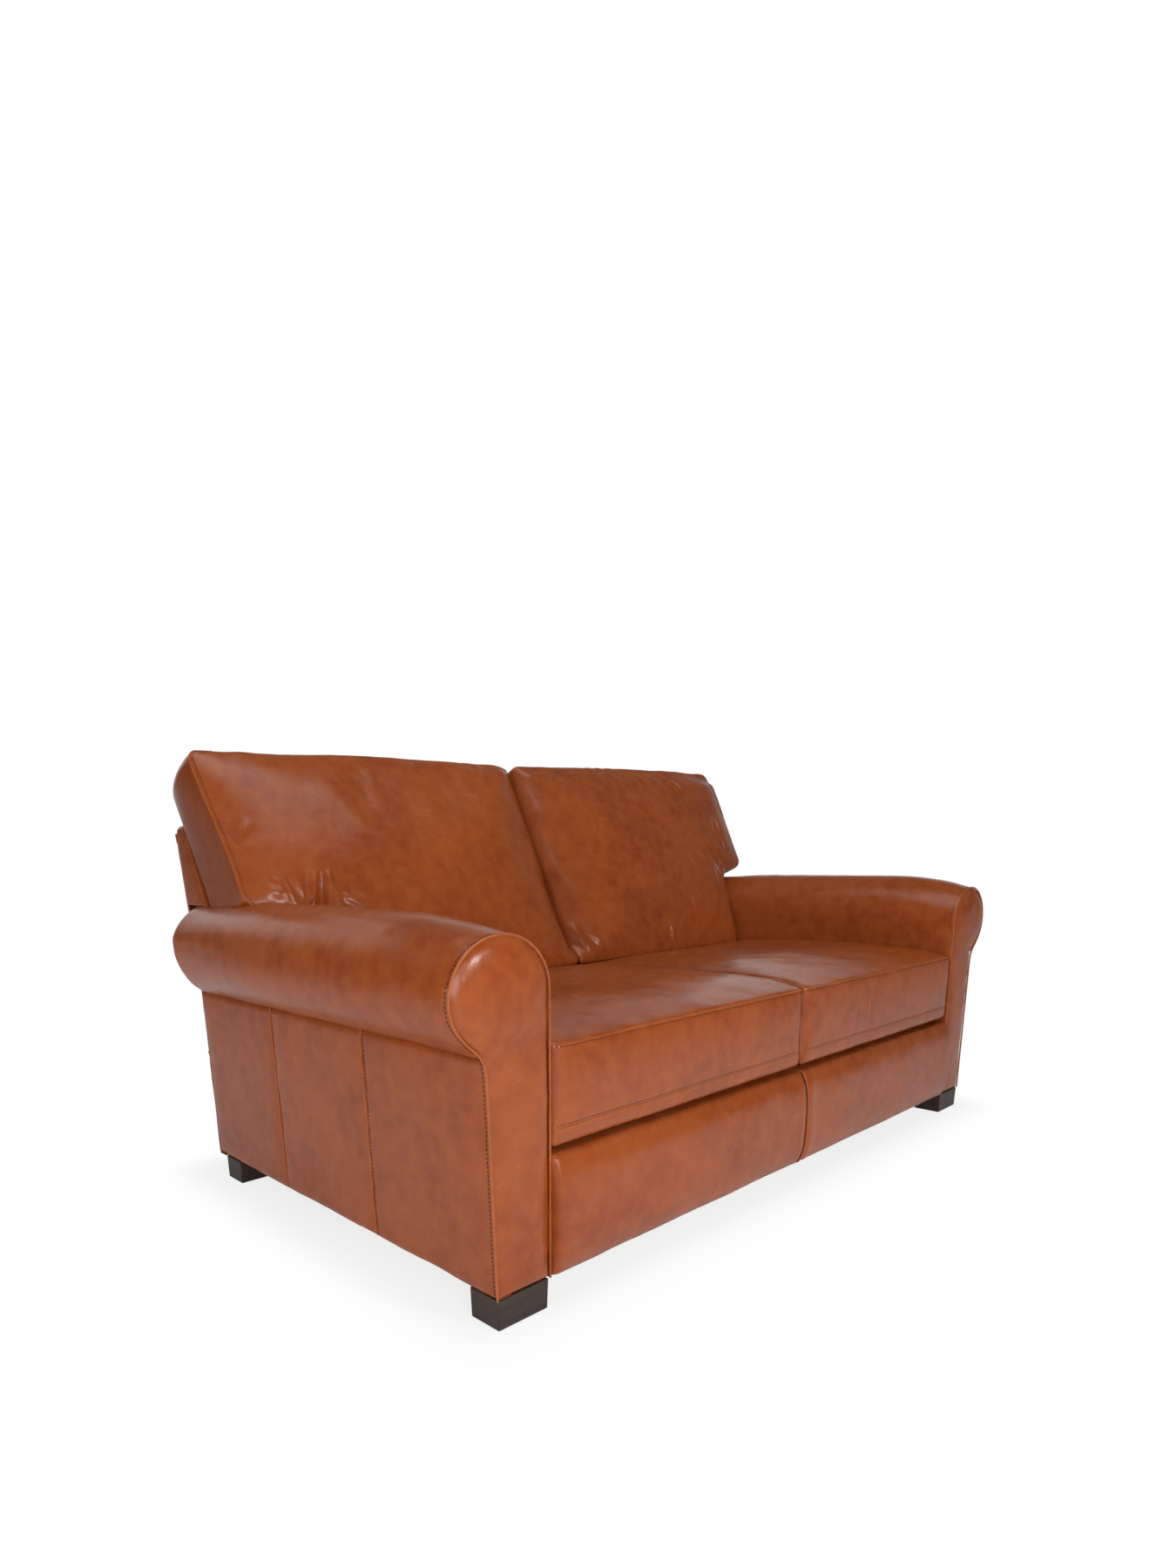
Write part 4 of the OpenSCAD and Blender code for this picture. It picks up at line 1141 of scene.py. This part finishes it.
def fold_height(flat, folds):
    """Height of leather folds on a face. Each fold has a start, an end, a half width and a height."""
    total = np.zeros(len(flat))
    for (x0, z0), (x1, z1), width, height in folds:
        start, way = np.array([x0, z0]), np.array([x1 - x0, z1 - z0])
        length = np.linalg.norm(way)
        way /= length
        t = (flat - start) @ way / length
        across = (flat - start) @ np.array([-way[1], way[0]])
        across = across + 0.5 * width * np.sin(3.1 * t + x0 * 40)
        window = np.sin(np.clip(t, 0, 1) * math.pi) ** 0.8
        ridge = bell(across / width) - 0.5 * bell((np.abs(across) - 2.0 * width) / width)
        total += height * window * ridge
    return total


def puckers(run, gap, depth, reach, seed):
    """Small gathers that fan away from a seam: run is the place along it, gap the distance from it."""
    wave = np.sin(run / 0.0065 + 3 * np.sin(run / 0.031 + seed))
    where = np.clip(np.sin(run / 0.083 + 2 * seed) + 0.4 * np.sin(run / 0.029 + seed) - 0.35, 0, 1)
    return depth * wave * where * np.exp(-gap / reach) * (1 - np.exp(-gap / 0.003))


SEAM_SHADOW_WIDTH = 0.0022           # half width of the painted shadow along a cushion's seam
CUSHION_FOLD_R = 0.0013     # radius of the leather fold in it


def cushion(node, turn, seam_lines, slack, evened, shape, hold, dress, limits):
    """A padded leather case: the CAD solid, eased, blown up between its seams, then creased.

    turn lays the solid flat, where shape, hold and dress work. limits works in the sofa's own place.
    """
    obj = copy_solid(node, turn)
    remesh(obj)
    points = shape(read_points(obj.data))
    write_points(obj.data, points)
    seams = np.concatenate([resample(line, 0.004) for line in seam_lines])
    held = np.clip(hold(points, distance_to(points, seams)), 0, 1)
    swell(obj, held, slack, evened)
    fine = obj.modifiers.new("fine", "SUBSURF")
    fine.levels = fine.render_levels = 1
    bake(obj)
    obj.data.materials.clear()
    obj.data.materials.append(COGNAC)
    points, normals = read_points(obj.data), read_normals(obj.data)
    gap = distance_to(points, seams)
    points = points + normals * dress(points, normals, gap)[:, None]
    back = np.array(turn.inverted())
    write_points(obj.data, limits(points @ back[:3, :3].T + back[:3, 3]))
    shade_smooth(obj.data)
    # painted shade on the sides that face across the sofa, stored as deep
    beside = np.abs(normals[:, 0]) * smooth((0.5 - np.abs(normals[:, 1])) / 0.3)
    # a painted shadow along the seams
    set_marks(obj, seam=bell(gap / 0.0035), dip=0.4 * bell(gap / SEAM_SHADOW_WIDTH), deep=beside)
    ride_as(obj, node.removesuffix("_cushion"), [node])
    return obj


SEAT_NOSE = 0.018           # rounding under the front edge of a seat cushion
CUSHION_GAP = 0.0009        # from a cushion to the middle of the sofa, and to an arm


def seat_side_rise(y):
    """The side seams of a seat cushion rise behind its front corners."""
    return 0.019 * smooth((y - FRONT_Y - 0.015) / 0.10)


def seat_seams(side):
    """Seams of a seat cushion: round its top, and round its lower border."""
    low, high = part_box(f"{SIDE_NAMES[side]}_seat_cushion")
    x0, x1, y0, y1 = low[0], high[0], low[1] + 0.005, high[1]
    r = 0.020
    turn = np.linspace(0, math.pi / 2, 7)
    loops = []
    for z in (SEAT_H, SEAT_LOW_SEAM):
        front = [(x0 + r - r * math.cos(a), y0 + r - r * math.sin(a)) for a in turn]
        front += [(x1 - r + r * math.sin(a), y0 + r - r * math.cos(a)) for a in turn]
        plan = resample([(x0, y1)] + [(x0, y) for y in np.linspace(y1, y0 + r, 30)] + front
                        + [(x1, y) for y in np.linspace(y0 + r, y1, 30)] + [(x0, y1)], 0.006)
        rise = seat_side_rise(plan[:, 1]) if z == SEAT_H else np.zeros(len(plan))
        loops.append(np.column_stack([plan, z + rise]))
    return loops


def seat_cushion(side):
    name = SIDE_NAMES[side]
    node = f"{name}_seat_cushion"
    low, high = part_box(node)
    front = low[1] + 0.005
    loops = seat_seams(side)

    def shape(points):
        points = points.copy()
        _, y, z = points.T
        z[:] = np.where(z > SEAT_H, SEAT_H + (z - SEAT_H) * 0.60, z)
        # the front border rolls under in a fuller nose, which hangs a little below the deck
        u = (front + SEAT_NOSE - y) / SEAT_NOSE
        v = (low[2] + SEAT_NOSE - z) / SEAT_NOSE
        nose = (u > 0) & (v > 0)
        full = (np.abs(u[nose]) ** 2.8 + np.abs(v[nose]) ** 2.8) ** (-1 / 2.8) * np.hypot(u[nose], v[nose])
        y[nose] = front + SEAT_NOSE - u[nose] * full * SEAT_NOSE
        z[nose] = low[2] + SEAT_NOSE - v[nose] * full * SEAT_NOSE
        z -= 0.0075 * smooth((0.030 - (y - front)) / 0.013) * smooth((low[2] + 0.022 - z) / 0.016)
        return points

    def hold(points, gap):
        x, y, z = np.abs(points[:, 0]), points[:, 1], points[:, 2]
        held = 1.25 - gap / 0.014
        held = np.maximum(held, smooth((SEAT_LOW_SEAM + 0.008 - z) / 0.006))
        beside = np.minimum(x - min(abs(low[0]), abs(high[0])), max(abs(low[0]), abs(high[0])) - x)
        wall = smooth((0.006 - beside) / 0.004) * smooth((0.415 - z) / 0.02)
        wall = wall * smooth((y - front - 0.02) / 0.03)
        return np.maximum(held, np.maximum(wall, smooth((y - high[1] + 0.06) / 0.04)))

    def dress(points, normals, gap):
        up = smooth((normals[:, 2] - 0.3) / 0.4)
        ahead = smooth((-normals[:, 1] - 0.4) / 0.3)
        push = -0.0013 * bell(gap / 0.004)
        push += puckers(points[:, 0], gap, 0.0005, 0.008, 3 + side) * ahead
        push += puckers(points[:, 0], gap, 0.0006, 0.012, 8 + side) * up
        push += 0.0016 * ripple(points, 0.30, 11 + side) * up + 0.00008 * ripple(points, 0.05, 15 + side)
        push += 0.0008 * ripple(points, 0.22, 17 + side) * ahead
        push += fold_height(points[:, :2], SEAT_FOLDS[side]) * up
        push += fold_height(points[:, ::2], BORDER_FOLDS[side]) * ahead
        return push

    def limits(points):
        points[:, 0] = side * np.clip(np.abs(points[:, 0]), CUSHION_GAP, HALF_IN - CUSHION_GAP)
        over_deck = points[:, 1] > front + 0.028
        points[over_deck, 2] = np.maximum(points[over_deck, 2], low[2] + 0.0003)
        points[:, 1] = np.minimum(points[:, 1], high[1])
        return points

    tree = shape_of(cushion(node, Matrix.Identity(4), loops, 0.001, 40, shape, hold, dress, limits))
    rows, folds = [], []
    xs = np.linspace(low[0] + 0.010, high[0] - 0.010, 150)
    for z, offset in ((SEAT_H, -0.0050), (SEAT_LOW_SEAM, 0.0050)):
        rows.append(lay_on(tree, [(x, front - 0.004, z + offset) for x in xs], 0.0002))
        folds.append(lay_on(tree, [(x, front - 0.002, z) for x in xs], 0.0))
    stitches(f"{name}_seat_stitches", rows, 21, f"{name}_seat")
    cord(f"{name}_seat_seam_folds", folds, CUSHION_FOLD_R, f"{name}_seat")


# soft folds of the seat tops (x and y) and of their front borders (x and z): start, end, half width, height
SEAT_FOLDS = {
    LEFT: [((-0.20, -0.05), (-0.06, 0.03), 0.012, 0.0012), ((-0.68, -0.43), (-0.60, -0.30), 0.010, 0.0010)],
    RIGHT: [((0.18, -0.10), (0.34, 0.02), 0.012, 0.0012), ((0.12, -0.02), (0.26, 0.07), 0.010, 0.0010),
            ((0.60, -0.42), (0.69, -0.33), 0.009, 0.0010)]}
BORDER_FOLDS = {
    LEFT: [((-0.405, 0.262), (-0.395, 0.281), 0.005, 0.0030),
           ((-0.690, 0.300), (-0.692, 0.395), 0.007, 0.0012)],
    RIGHT: [((0.265, 0.300), (0.268, 0.400), 0.004, 0.0007), ((0.020, 0.300), (0.022, 0.390), 0.009, 0.0010)]}


BACK_FOOT_Y = FRONT_Y + SEAT_DEPTH
BACK_W = (BACK_CUSHION_H - SEAT_H) / math.cos(BACK_RAKE)
EAR_W = (EAR_H - SEAT_H) / math.cos(BACK_RAKE)
BACK_CORNER_R = 0.030
EAR_R = 0.028
# a back cushion's place from its flat lay, in which x is across, y up its face, and z out of its front
LEANING = Matrix.Translation((0, BACK_FOOT_Y, SEAT_H)) @ Matrix.Rotation(math.pi / 2 - BACK_RAKE, 4, "X")


def ease_back(x, y, side):
    """How the stuffing shapes the outline of a back cushion: its new height up the face at x, y."""
    x = np.abs(x)
    # the ear sags onto the arm towards the inside
    if side == LEFT:
        under = 0.189 + 0.23 * (x - 0.776) - 0.055 * np.clip((0.776 - x) / 0.052, 0, 1) ** 1.5
    else:
        under = 0.214 + 0.25 * (x - 0.73) - 0.040 * np.clip((0.745 - x) / 0.022, 0, 1) ** 1.5
    near = 1 - smooth((y - EAR_W) / 0.07)
    sag = (under - EAR_W) * near * smooth((x - HALF_IN - 0.001) / 0.003)
    # one end of the top is fuller than the other
    if side == LEFT:
        top = 0.016 - 0.021 * smooth((x - 0.42) / 0.45) - 0.010 * smooth((0.06 - x) / 0.06)
    else:
        top = 0.015 + 0.020 * smooth((x + 0.10) / 0.65)
    return y + sag + top * smooth((y - 0.10) / (BACK_W - 0.10))


def spread(x, y, side, depth):
    """The stuffed upper corner of a back cushion leans out over the arm, its front most (depth 0)."""
    lean = smooth((y - EAR_W - 0.02) / (BACK_W - EAR_W)) * smooth((x - 0.55) / 0.30)
    puff = 4 * depth * (1 - depth) * smooth((x - WALL_TOP_X + 0.05) / 0.05)
    if side == LEFT:
        return x + (0.030 - 0.016 * depth + 0.010 * puff) * lean
    slant = (1 - 0.6 * depth) * (0.014 * lean + 0.018 * smooth((x - 0.74) / 0.08))
    return x + slant + (0.004 * puff - 0.016 * depth) * lean


def round_ear(x, y):
    """The lower outer corner of the ear, which is square in the case, made round."""
    u = (x - WALL_TOP_X + EAR_R) / EAR_R
    v = (EAR_W + EAR_R - y) / EAR_R
    corner = (u > 0) & (v > 0)
    scale = np.where(corner, np.maximum(u, v) / np.maximum(np.hypot(u, v), 1e-9), 1)
    x = np.where(corner, WALL_TOP_X - EAR_R + u * scale * EAR_R, x)
    y = np.where(corner, EAR_W + EAR_R - v * scale * EAR_R, y)
    return x, y


def roll_in(x, y):
    """How far the front of a back cushion rolls back towards its inner side, top, foot and arm side."""
    def quarter(t):
        return 1 - np.sqrt(1 - np.clip(t, 0, 1) ** 2)
    inner = 0.040 * quarter((0.060 - x) / 0.060) * smooth((y - 0.01) / 0.06)
    top = 0.011 * quarter((y - BACK_W + 0.030) / 0.030)
    foot = 0.016 * quarter((0.024 - y) / 0.024)
    by_arm = 0.024 * quarter((x - HALF_IN + 0.040) / 0.040) * smooth((0.15 - y) / 0.05)
    return np.maximum.reduce([inner, top, foot, by_arm])


def quarter_turn(x, y, r, start):
    """A quarter circle round x, y, clockwise, from an angle that is given in quarter turns."""
    angles = start * math.pi / 2 - np.linspace(0, math.pi / 2, 8)
    return [(x + r * math.cos(a), y + r * math.sin(a)) for a in angles]


def back_outline(side, depth):
    """Outline of a back cushion laid flat, from its foot at the sofa's middle, round the top to the arm."""
    inner, outer, ear, r, foot_r = 0.0020, HALF_IN - 0.0020, WALL_TOP_X - 0.001, BACK_CORNER_R, 0.020
    line = [(inner + foot_r, 0.001)] + quarter_turn(inner + foot_r, foot_r, foot_r, -1)[1:]
    line += quarter_turn(inner + r, BACK_W - r, r, 2) + quarter_turn(ear - r, BACK_W - r, r, 1)
    line += quarter_turn(ear - EAR_R, EAR_W + EAR_R, EAR_R, 0)
    line += [(outer + 0.006, EAR_W), (outer, EAR_W - 0.012), (outer, foot_r)]
    line += quarter_turn(outer - foot_r, foot_r, foot_r, 0)[1:] + [(inner + foot_r, 0.001)]
    x, y = resample(line, 0.004).T
    return np.column_stack([side * spread(x, y, side, depth), ease_back(x, y, side)])


# folds of the back cushions, up their faces: start, end, half width, height
BACK_FOLDS = {
    LEFT: [
        ((0.722, 0.170), (0.690, 0.262), 0.0070, 0.0048), ((0.667, 0.260), (0.677, 0.165), 0.0070, 0.0052),
        ((0.697, 0.170), (0.680, 0.244), 0.0110, -0.0045), ((0.762, 0.255), (0.750, 0.195), 0.0065, 0.0034),
        ((0.738, 0.250), (0.716, 0.200), 0.0060, 0.0030), ((0.661, 0.235), (0.655, 0.170), 0.0060, 0.0030),
        ((0.650, 0.204), (0.588, 0.172), 0.0070, 0.0034), ((0.800, 0.226), (0.745, 0.214), 0.0100, 0.0028),
        ((0.125, 0.090), (0.083, 0.022), 0.0080, 0.0034), ((0.092, 0.074), (0.064, 0.018), 0.0060, 0.0028),
        ((0.165, 0.064), (0.140, 0.018), 0.0060, 0.0020), ((0.040, 0.110), (0.030, 0.030), 0.0080, 0.0020),
        ((0.110, 0.545), (0.150, 0.500), 0.0080, 0.0022), ((0.330, 0.545), (0.350, 0.515), 0.0070, 0.0016),
        ((0.800, 0.380), (0.830, 0.330), 0.0080, 0.0016)],
    RIGHT: [
        ((0.672, 0.335), (0.716, 0.240), 0.0080, 0.0046), ((0.655, 0.320), (0.690, 0.250), 0.0060, 0.0030),
        ((0.778, 0.392), (0.773, 0.300), 0.0090, 0.0038), ((0.695, 0.228), (0.698, 0.158), 0.0080, 0.0042),
        ((0.742, 0.238), (0.700, 0.205), 0.0070, 0.0030), ((0.381, 0.088), (0.388, 0.032), 0.0055, 0.0026),
        ((0.370, 0.072), (0.376, 0.030), 0.0050, -0.0020), ((0.511, 0.152), (0.511, 0.098), 0.0060, 0.0022),
        ((0.585, 0.550), (0.668, 0.500), 0.0100, 0.0030), ((0.500, 0.550), (0.532, 0.510), 0.0080, 0.0020),
        ((0.022, 0.118), (0.042, 0.026), 0.0100, 0.0038), ((0.058, 0.085), (0.086, 0.024), 0.0070, 0.0022),
        ((0.640, 0.150), (0.600, 0.090), 0.0100, 0.0018)]}


def leant(line):
    """A line of the flat lay in the cushion's own place."""
    return [LEANING @ Vector(point) for point in line]


def back_cushion(side):
    name = SIDE_NAMES[side]
    node = f"{name}_back_cushion"
    outline, rear = back_outline(side, 0), back_outline(side, 1)
    x, y = np.abs(outline[:, 0]), outline[:, 1]
    lines = [np.column_stack([outline, -roll_in(x, y)]),
             np.column_stack([rear, np.full(len(rear), -BACK_CUSHION_T)])]

    def shape(points):
        points = points.copy()
        x, y = round_ear(np.abs(points[:, 0]), points[:, 1])
        z = np.where(points[:, 2] > 0, points[:, 2] * 0.75, points[:, 2])
        x, y = spread(x, y, side, np.clip(-z / BACK_CUSHION_T, 0, 1)), ease_back(x, y, side)
        z = z - roll_in(x, y) * smooth((z + 0.10) / 0.10)
        return np.column_stack([side * x, y, z])

    def hold(points, gap):
        x, y, z = np.abs(points[:, 0]), points[:, 1], points[:, 2]
        held = 1.25 - gap / 0.014
        inside = smooth((-0.004 - z) / 0.006) * smooth((z + BACK_CUSHION_T - 0.004) / 0.006)
        inner = smooth((0.012 - x) / 0.006) * inside
        by_arm = smooth((x - HALF_IN + 0.010) / 0.006) * smooth((EAR_W + 0.03 - y) / 0.02) * inside
        ends = 0.75 * smooth((x - WALL_TOP_X + 0.010) / 0.006) * inside
        top = 0.65 * smooth((y - BACK_W + 0.020) / 0.010) * inside
        foot_edge = smooth((0.012 - y) / 0.006)
        return np.maximum.reduce([held, inner, by_arm, ends, top, foot_edge])

    def dress(points, normals, gap):
        ahead = smooth((normals[:, 2] - 0.25) / 0.35)
        push = -0.0012 * bell(gap / 0.004)
        flat = np.column_stack([np.abs(points[:, 0]), points[:, 1]])
        push += 0.0018 * ripple(points, 0.34, 51 + side) * ahead + 0.00012 * ripple(points, 0.06, 55 + side)
        push += 1.25 * fold_height(flat, BACK_FOLDS[side]) * ahead
        # short gathers along the top edge
        high = smooth((points[:, 1] - BACK_W + 0.10) / 0.06)
        push += puckers(points[:, 0] * 0.6, gap, 0.0013, 0.016, 5 + side) * high
        return push

    def limits(points):
        x = np.maximum(np.abs(points[:, 0]), CUSHION_GAP)
        z = points[:, 2]
        off = np.clip((x - ROLL_X) / ROLL_RX, -1, 1)
        rise = roll_rise(points[:, 1] - FRONT_Y, side)
        roll = ROLL_Z + (ROLL_RZ + rise) * np.sqrt(1 - off ** 2) + 0.0012
        roll = np.where(x < HALF_IN - CUSHION_GAP, 0, roll)
        beside = (x - HALF_IN + CUSHION_GAP < roll - z) & (z < roll)
        z = np.where(beside, z, np.maximum(z, roll))
        x = np.where(beside, HALF_IN - CUSHION_GAP, x)
        points[:, 0] = side * x
        points[:, 2] = np.maximum(z, SEAT_H + 0.0005)
        wall = inside_y(points[:, 2]) - 0.0012
        points[:, 1] = np.where(points[:, 2] < BACK_H + 0.01, np.minimum(points[:, 1], wall), points[:, 1])
        return points

    tree = shape_of(cushion(node, LEANING.inverted(), lines, 0.003, 14, shape, hold, dress, limits))
    order = np.argmax(x + y)
    at = np.arange(len(x))
    outer = lines[0][(at >= order - 12) & (x > HALF_IN + 0.006)]
    inner = lines[0][(at < order) & (x < 0.003) & (y > 0.03) & (y < 0.42)]
    shown = (outer, inner) if side == LEFT else (outer,)
    folds = [lay_on(tree, leant(line), 0.0) for line in shown]
    cord(f"{name}_back_seam_folds", folds, CUSHION_FOLD_R, f"{name}_back")
    row = resample(outer, 0.005)[4:-4] * np.array([1, 1, 0]) + np.array([-side * 0.0065, 0, 0.004])
    stitches(f"{name}_back_stitches", [lay_on(tree, leant(row), 0.0002)], 31, f"{name}_back")


# ---------------------------------------------------------------- feet

def foot(node):
    """A block foot with softened edges, which narrows a little towards the floor."""
    low, high = (Vector(c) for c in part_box(node))
    middle = (low + high) / 2
    bm = bmesh.new()
    bmesh.ops.create_cube(bm, size=1.0)
    for vertex in bm.verts:
        vertex.co = Vector((low[k] + (vertex.co[k] + 0.5) * (high[k] - low[k]) for k in range(3)))
        if vertex.co.z < middle.z:
            vertex.co.x += math.copysign(0.0015, middle.x - vertex.co.x)
            vertex.co.y += math.copysign(0.0010, middle.y - vertex.co.y)
    bmesh.ops.bevel(bm, geom=bm.edges[:], offset=0.0026, segments=3, profile=0.6, affect="EDGES")
    bmesh.ops.recalc_face_normals(bm, faces=bm.faces)
    mesh = bpy.data.meshes.new(node + "_block")
    bm.to_mesh(mesh)
    bm.free()
    mesh.materials.append(ESPRESSO)
    shade_smooth(mesh)
    obj = put(node + "_block", mesh)
    flat = obj.modifiers.new("flat", "WEIGHTED_NORMAL")
    flat.keep_sharp = True
    ride_as(obj, "frame", [node])


# ---------------------------------------------------------------- studio

SHADOW_REACH = 0.15         # the floor keeps the shadow this far from the sofa,
SHADOW_SHARE = 0.20         # at this share of its strength
FLOOR_REACH = 30.0


def plain_white(tree, mirrored_share):
    """How far a white ground shows plain white: fully to the camera, and in a share in mirrors."""
    seen = add(tree, "ShaderNodeLightPath").outputs
    mirrored = times(tree, seen["Is Glossy Ray"], mirrored_share)
    share = math_node(tree, "MAXIMUM", seen["Is Camera Ray"], mirrored)
    return math_node(tree, "MAXIMUM", share, seen["Is Transmission Ray"])


def footprint_gap(tree, where):
    """Distance on the floor from a box just inside the sofa's footprint."""
    halves = vector_math(tree, "ABSOLUTE", where).outputs["Vector"]
    past = vector_math(tree, "SUBTRACT", halves, (WALL_TOP_X - 0.03, -FRONT_Y - 0.03, 0)).outputs["Vector"]
    outside = vector_math(tree, "MAXIMUM", past, (0, 0, 0)).outputs["Vector"]
    return vector_math(tree, "LENGTH", outside).outputs["Value"]


def build_floor():
    """A white floor with the shadow beside the sofa, clear from below, so that the underside shows."""
    material, tree, shader, where = new_material("studio_floor")
    plain = {"Base Color": (0.97, 0.97, 0.97, 1), "Roughness": 0.9, "Specular IOR Level": 0.0}
    for label, value in plain.items():
        shader.inputs[label].default_value = value
    glow = add(tree, "ShaderNodeEmission", {"Strength": 1.0})
    far = span(tree, footprint_gap(tree, where), 0.01, SHADOW_REACH, 1 - SHADOW_SHARE, 1.0)
    white = times(tree, plain_white(tree, 0.15), far)
    above = add(tree, "ShaderNodeMixShader", {0: white, 1: shader.outputs[0], 2: glow.outputs[0]})
    below = add(tree, "ShaderNodeBsdfTransparent")
    from_below = add(tree, "ShaderNodeNewGeometry").outputs["Backfacing"]
    both = add(tree, "ShaderNodeMixShader", {0: from_below, 1: above.outputs[0], 2: below.outputs[0]})
    out = next(node for node in tree.nodes if node.type == "OUTPUT_MATERIAL")
    tree.links.new(both.outputs[0], out.inputs["Surface"])
    corners = [(x * FLOOR_REACH, y * FLOOR_REACH, 0) for x, y in ((-1, -1), (1, -1), (1, 1), (-1, 1))]
    make_object("studio_floor", corners, [(0, 1, 2, 3)], material)


BACKDROP_WAY = (0.655, 0.756, 0.0)      # from the camera to the backdrop behind the sofa


def build_world():
    """Soft light from all round, and a white backdrop, which mirrors darker away from behind the sofa."""
    world = bpy.data.worlds.new("studio")
    world.use_nodes = True
    tree = world.node_tree
    tree.nodes.clear()
    where = add(tree, "ShaderNodeTexCoord").outputs["Generated"]
    ahead = vector_math(tree, "DOT_PRODUCT", where, BACKDROP_WAY).outputs["Value"]
    height = add(tree, "ShaderNodeSeparateXYZ", {0: where}).outputs["Z"]
    behind = times(tree, span(tree, ahead, 0.50, 0.92), span(tree, height, 0.16, 0.60, 1.0, 0.20))
    mirrored = add(tree, "ShaderNodeLightPath").outputs["Is Glossy Ray"]
    strength = plus(tree, times(tree, mirrored, -0.14), 0.22)
    soft = add(tree, "ShaderNodeBackground", {"Color": (0.94, 0.97, 1.0, 1), "Strength": strength})
    white = add(tree, "ShaderNodeBackground", {"Color": (1, 1, 1, 1), "Strength": 1.0})
    shown = plain_white(tree, behind)
    mixer = add(tree, "ShaderNodeMixShader", {0: shown, 1: soft.outputs[0], 2: white.outputs[0]})
    add(tree, "ShaderNodeOutputWorld", {"Surface": mixer.outputs[0]})
    bpy.context.scene.world = world


def lamp(name, place, target, size, watts, colour):
    """An area lamp at a place, turned to its target."""
    data = bpy.data.lights.new(name, "AREA")
    data.shape = "RECTANGLE"
    data.size, data.size_y = size
    data.energy = watts
    data.color = colour
    obj = put(name, data)
    way = Vector(target) - Vector(place)
    obj.rotation_euler = way.to_track_quat("-Z", "Y").to_euler()
    obj.location = place


def build_lamps():
    lamp("front_softbox", (-1.45, -2.10, 0.90), (-0.45, -0.4, 0.40), (0.9, 0.9), 18, (1.0, 0.985, 0.96))
    lamp("small_softbox", (-0.20, -2.85, 1.42), (-0.6, -0.5, 0.45), (0.24, 0.24), 23, (1.0, 0.99, 0.98))
    lamp("top_softbox", (-0.3, -0.3, 2.9), (0, 0, 0.3), (2.4, 1.5), 27, (0.92, 0.96, 1.0))
    lamp("left_softbox", (-3.2, -0.5, 0.7), (-0.2, 0, 0.25), (1.4, 1.0), 23, (0.95, 0.97, 1.0))
    lamp("rear_softbox", (-1.1, 2.4, 1.9), (-0.8, 0, 0.5), (1.6, 1.2), 5, (0.96, 0.98, 1.0))


def build_camera():
    """The view: its place, the way it looks, and the lens."""
    yaw, pitch, roll = 0.7145, 0.189, -0.0203
    ahead = Vector((math.sin(yaw) * math.cos(pitch), math.cos(yaw) * math.cos(pitch), -math.sin(pitch)))
    level = Vector((math.cos(yaw), -math.sin(yaw), 0))
    above = level.cross(ahead)
    right = math.cos(roll) * level + math.sin(roll) * above
    up = -math.sin(roll) * level + math.cos(roll) * above
    data = bpy.data.cameras.new("camera")
    data.sensor_fit = "VERTICAL"
    data.sensor_height = 36
    data.lens = 19.942
    data.shift_x = 0.0723
    data.shift_y = 0.1522
    obj = put("camera", data)
    place = Vector((-1.6030, FRONT_Y - 0.8487, 0.6788))
    obj.matrix_world = Matrix.Translation(place) @ Matrix((right, up, -ahead)).transposed().to_4x4()
    bpy.context.scene.camera = obj


# ---------------------------------------------------------------- the sofa

build_camera()
finish_frame_nodes()
for arm_side in (LEFT, RIGHT):
    build_arm(arm_side)
build_rail()
back_frame()
build_outside_back()
for seat_side in (LEFT, RIGHT):
    seat_cushion(seat_side)
    back_cushion(seat_side)
for foot_node in ("front_left_foot", "front_right_foot", "rear_left_foot", "rear_right_foot"):
    foot(foot_node)
build_floor()
build_world()
build_lamps()
bpy.context.scene.view_settings.view_transform = "Standard"
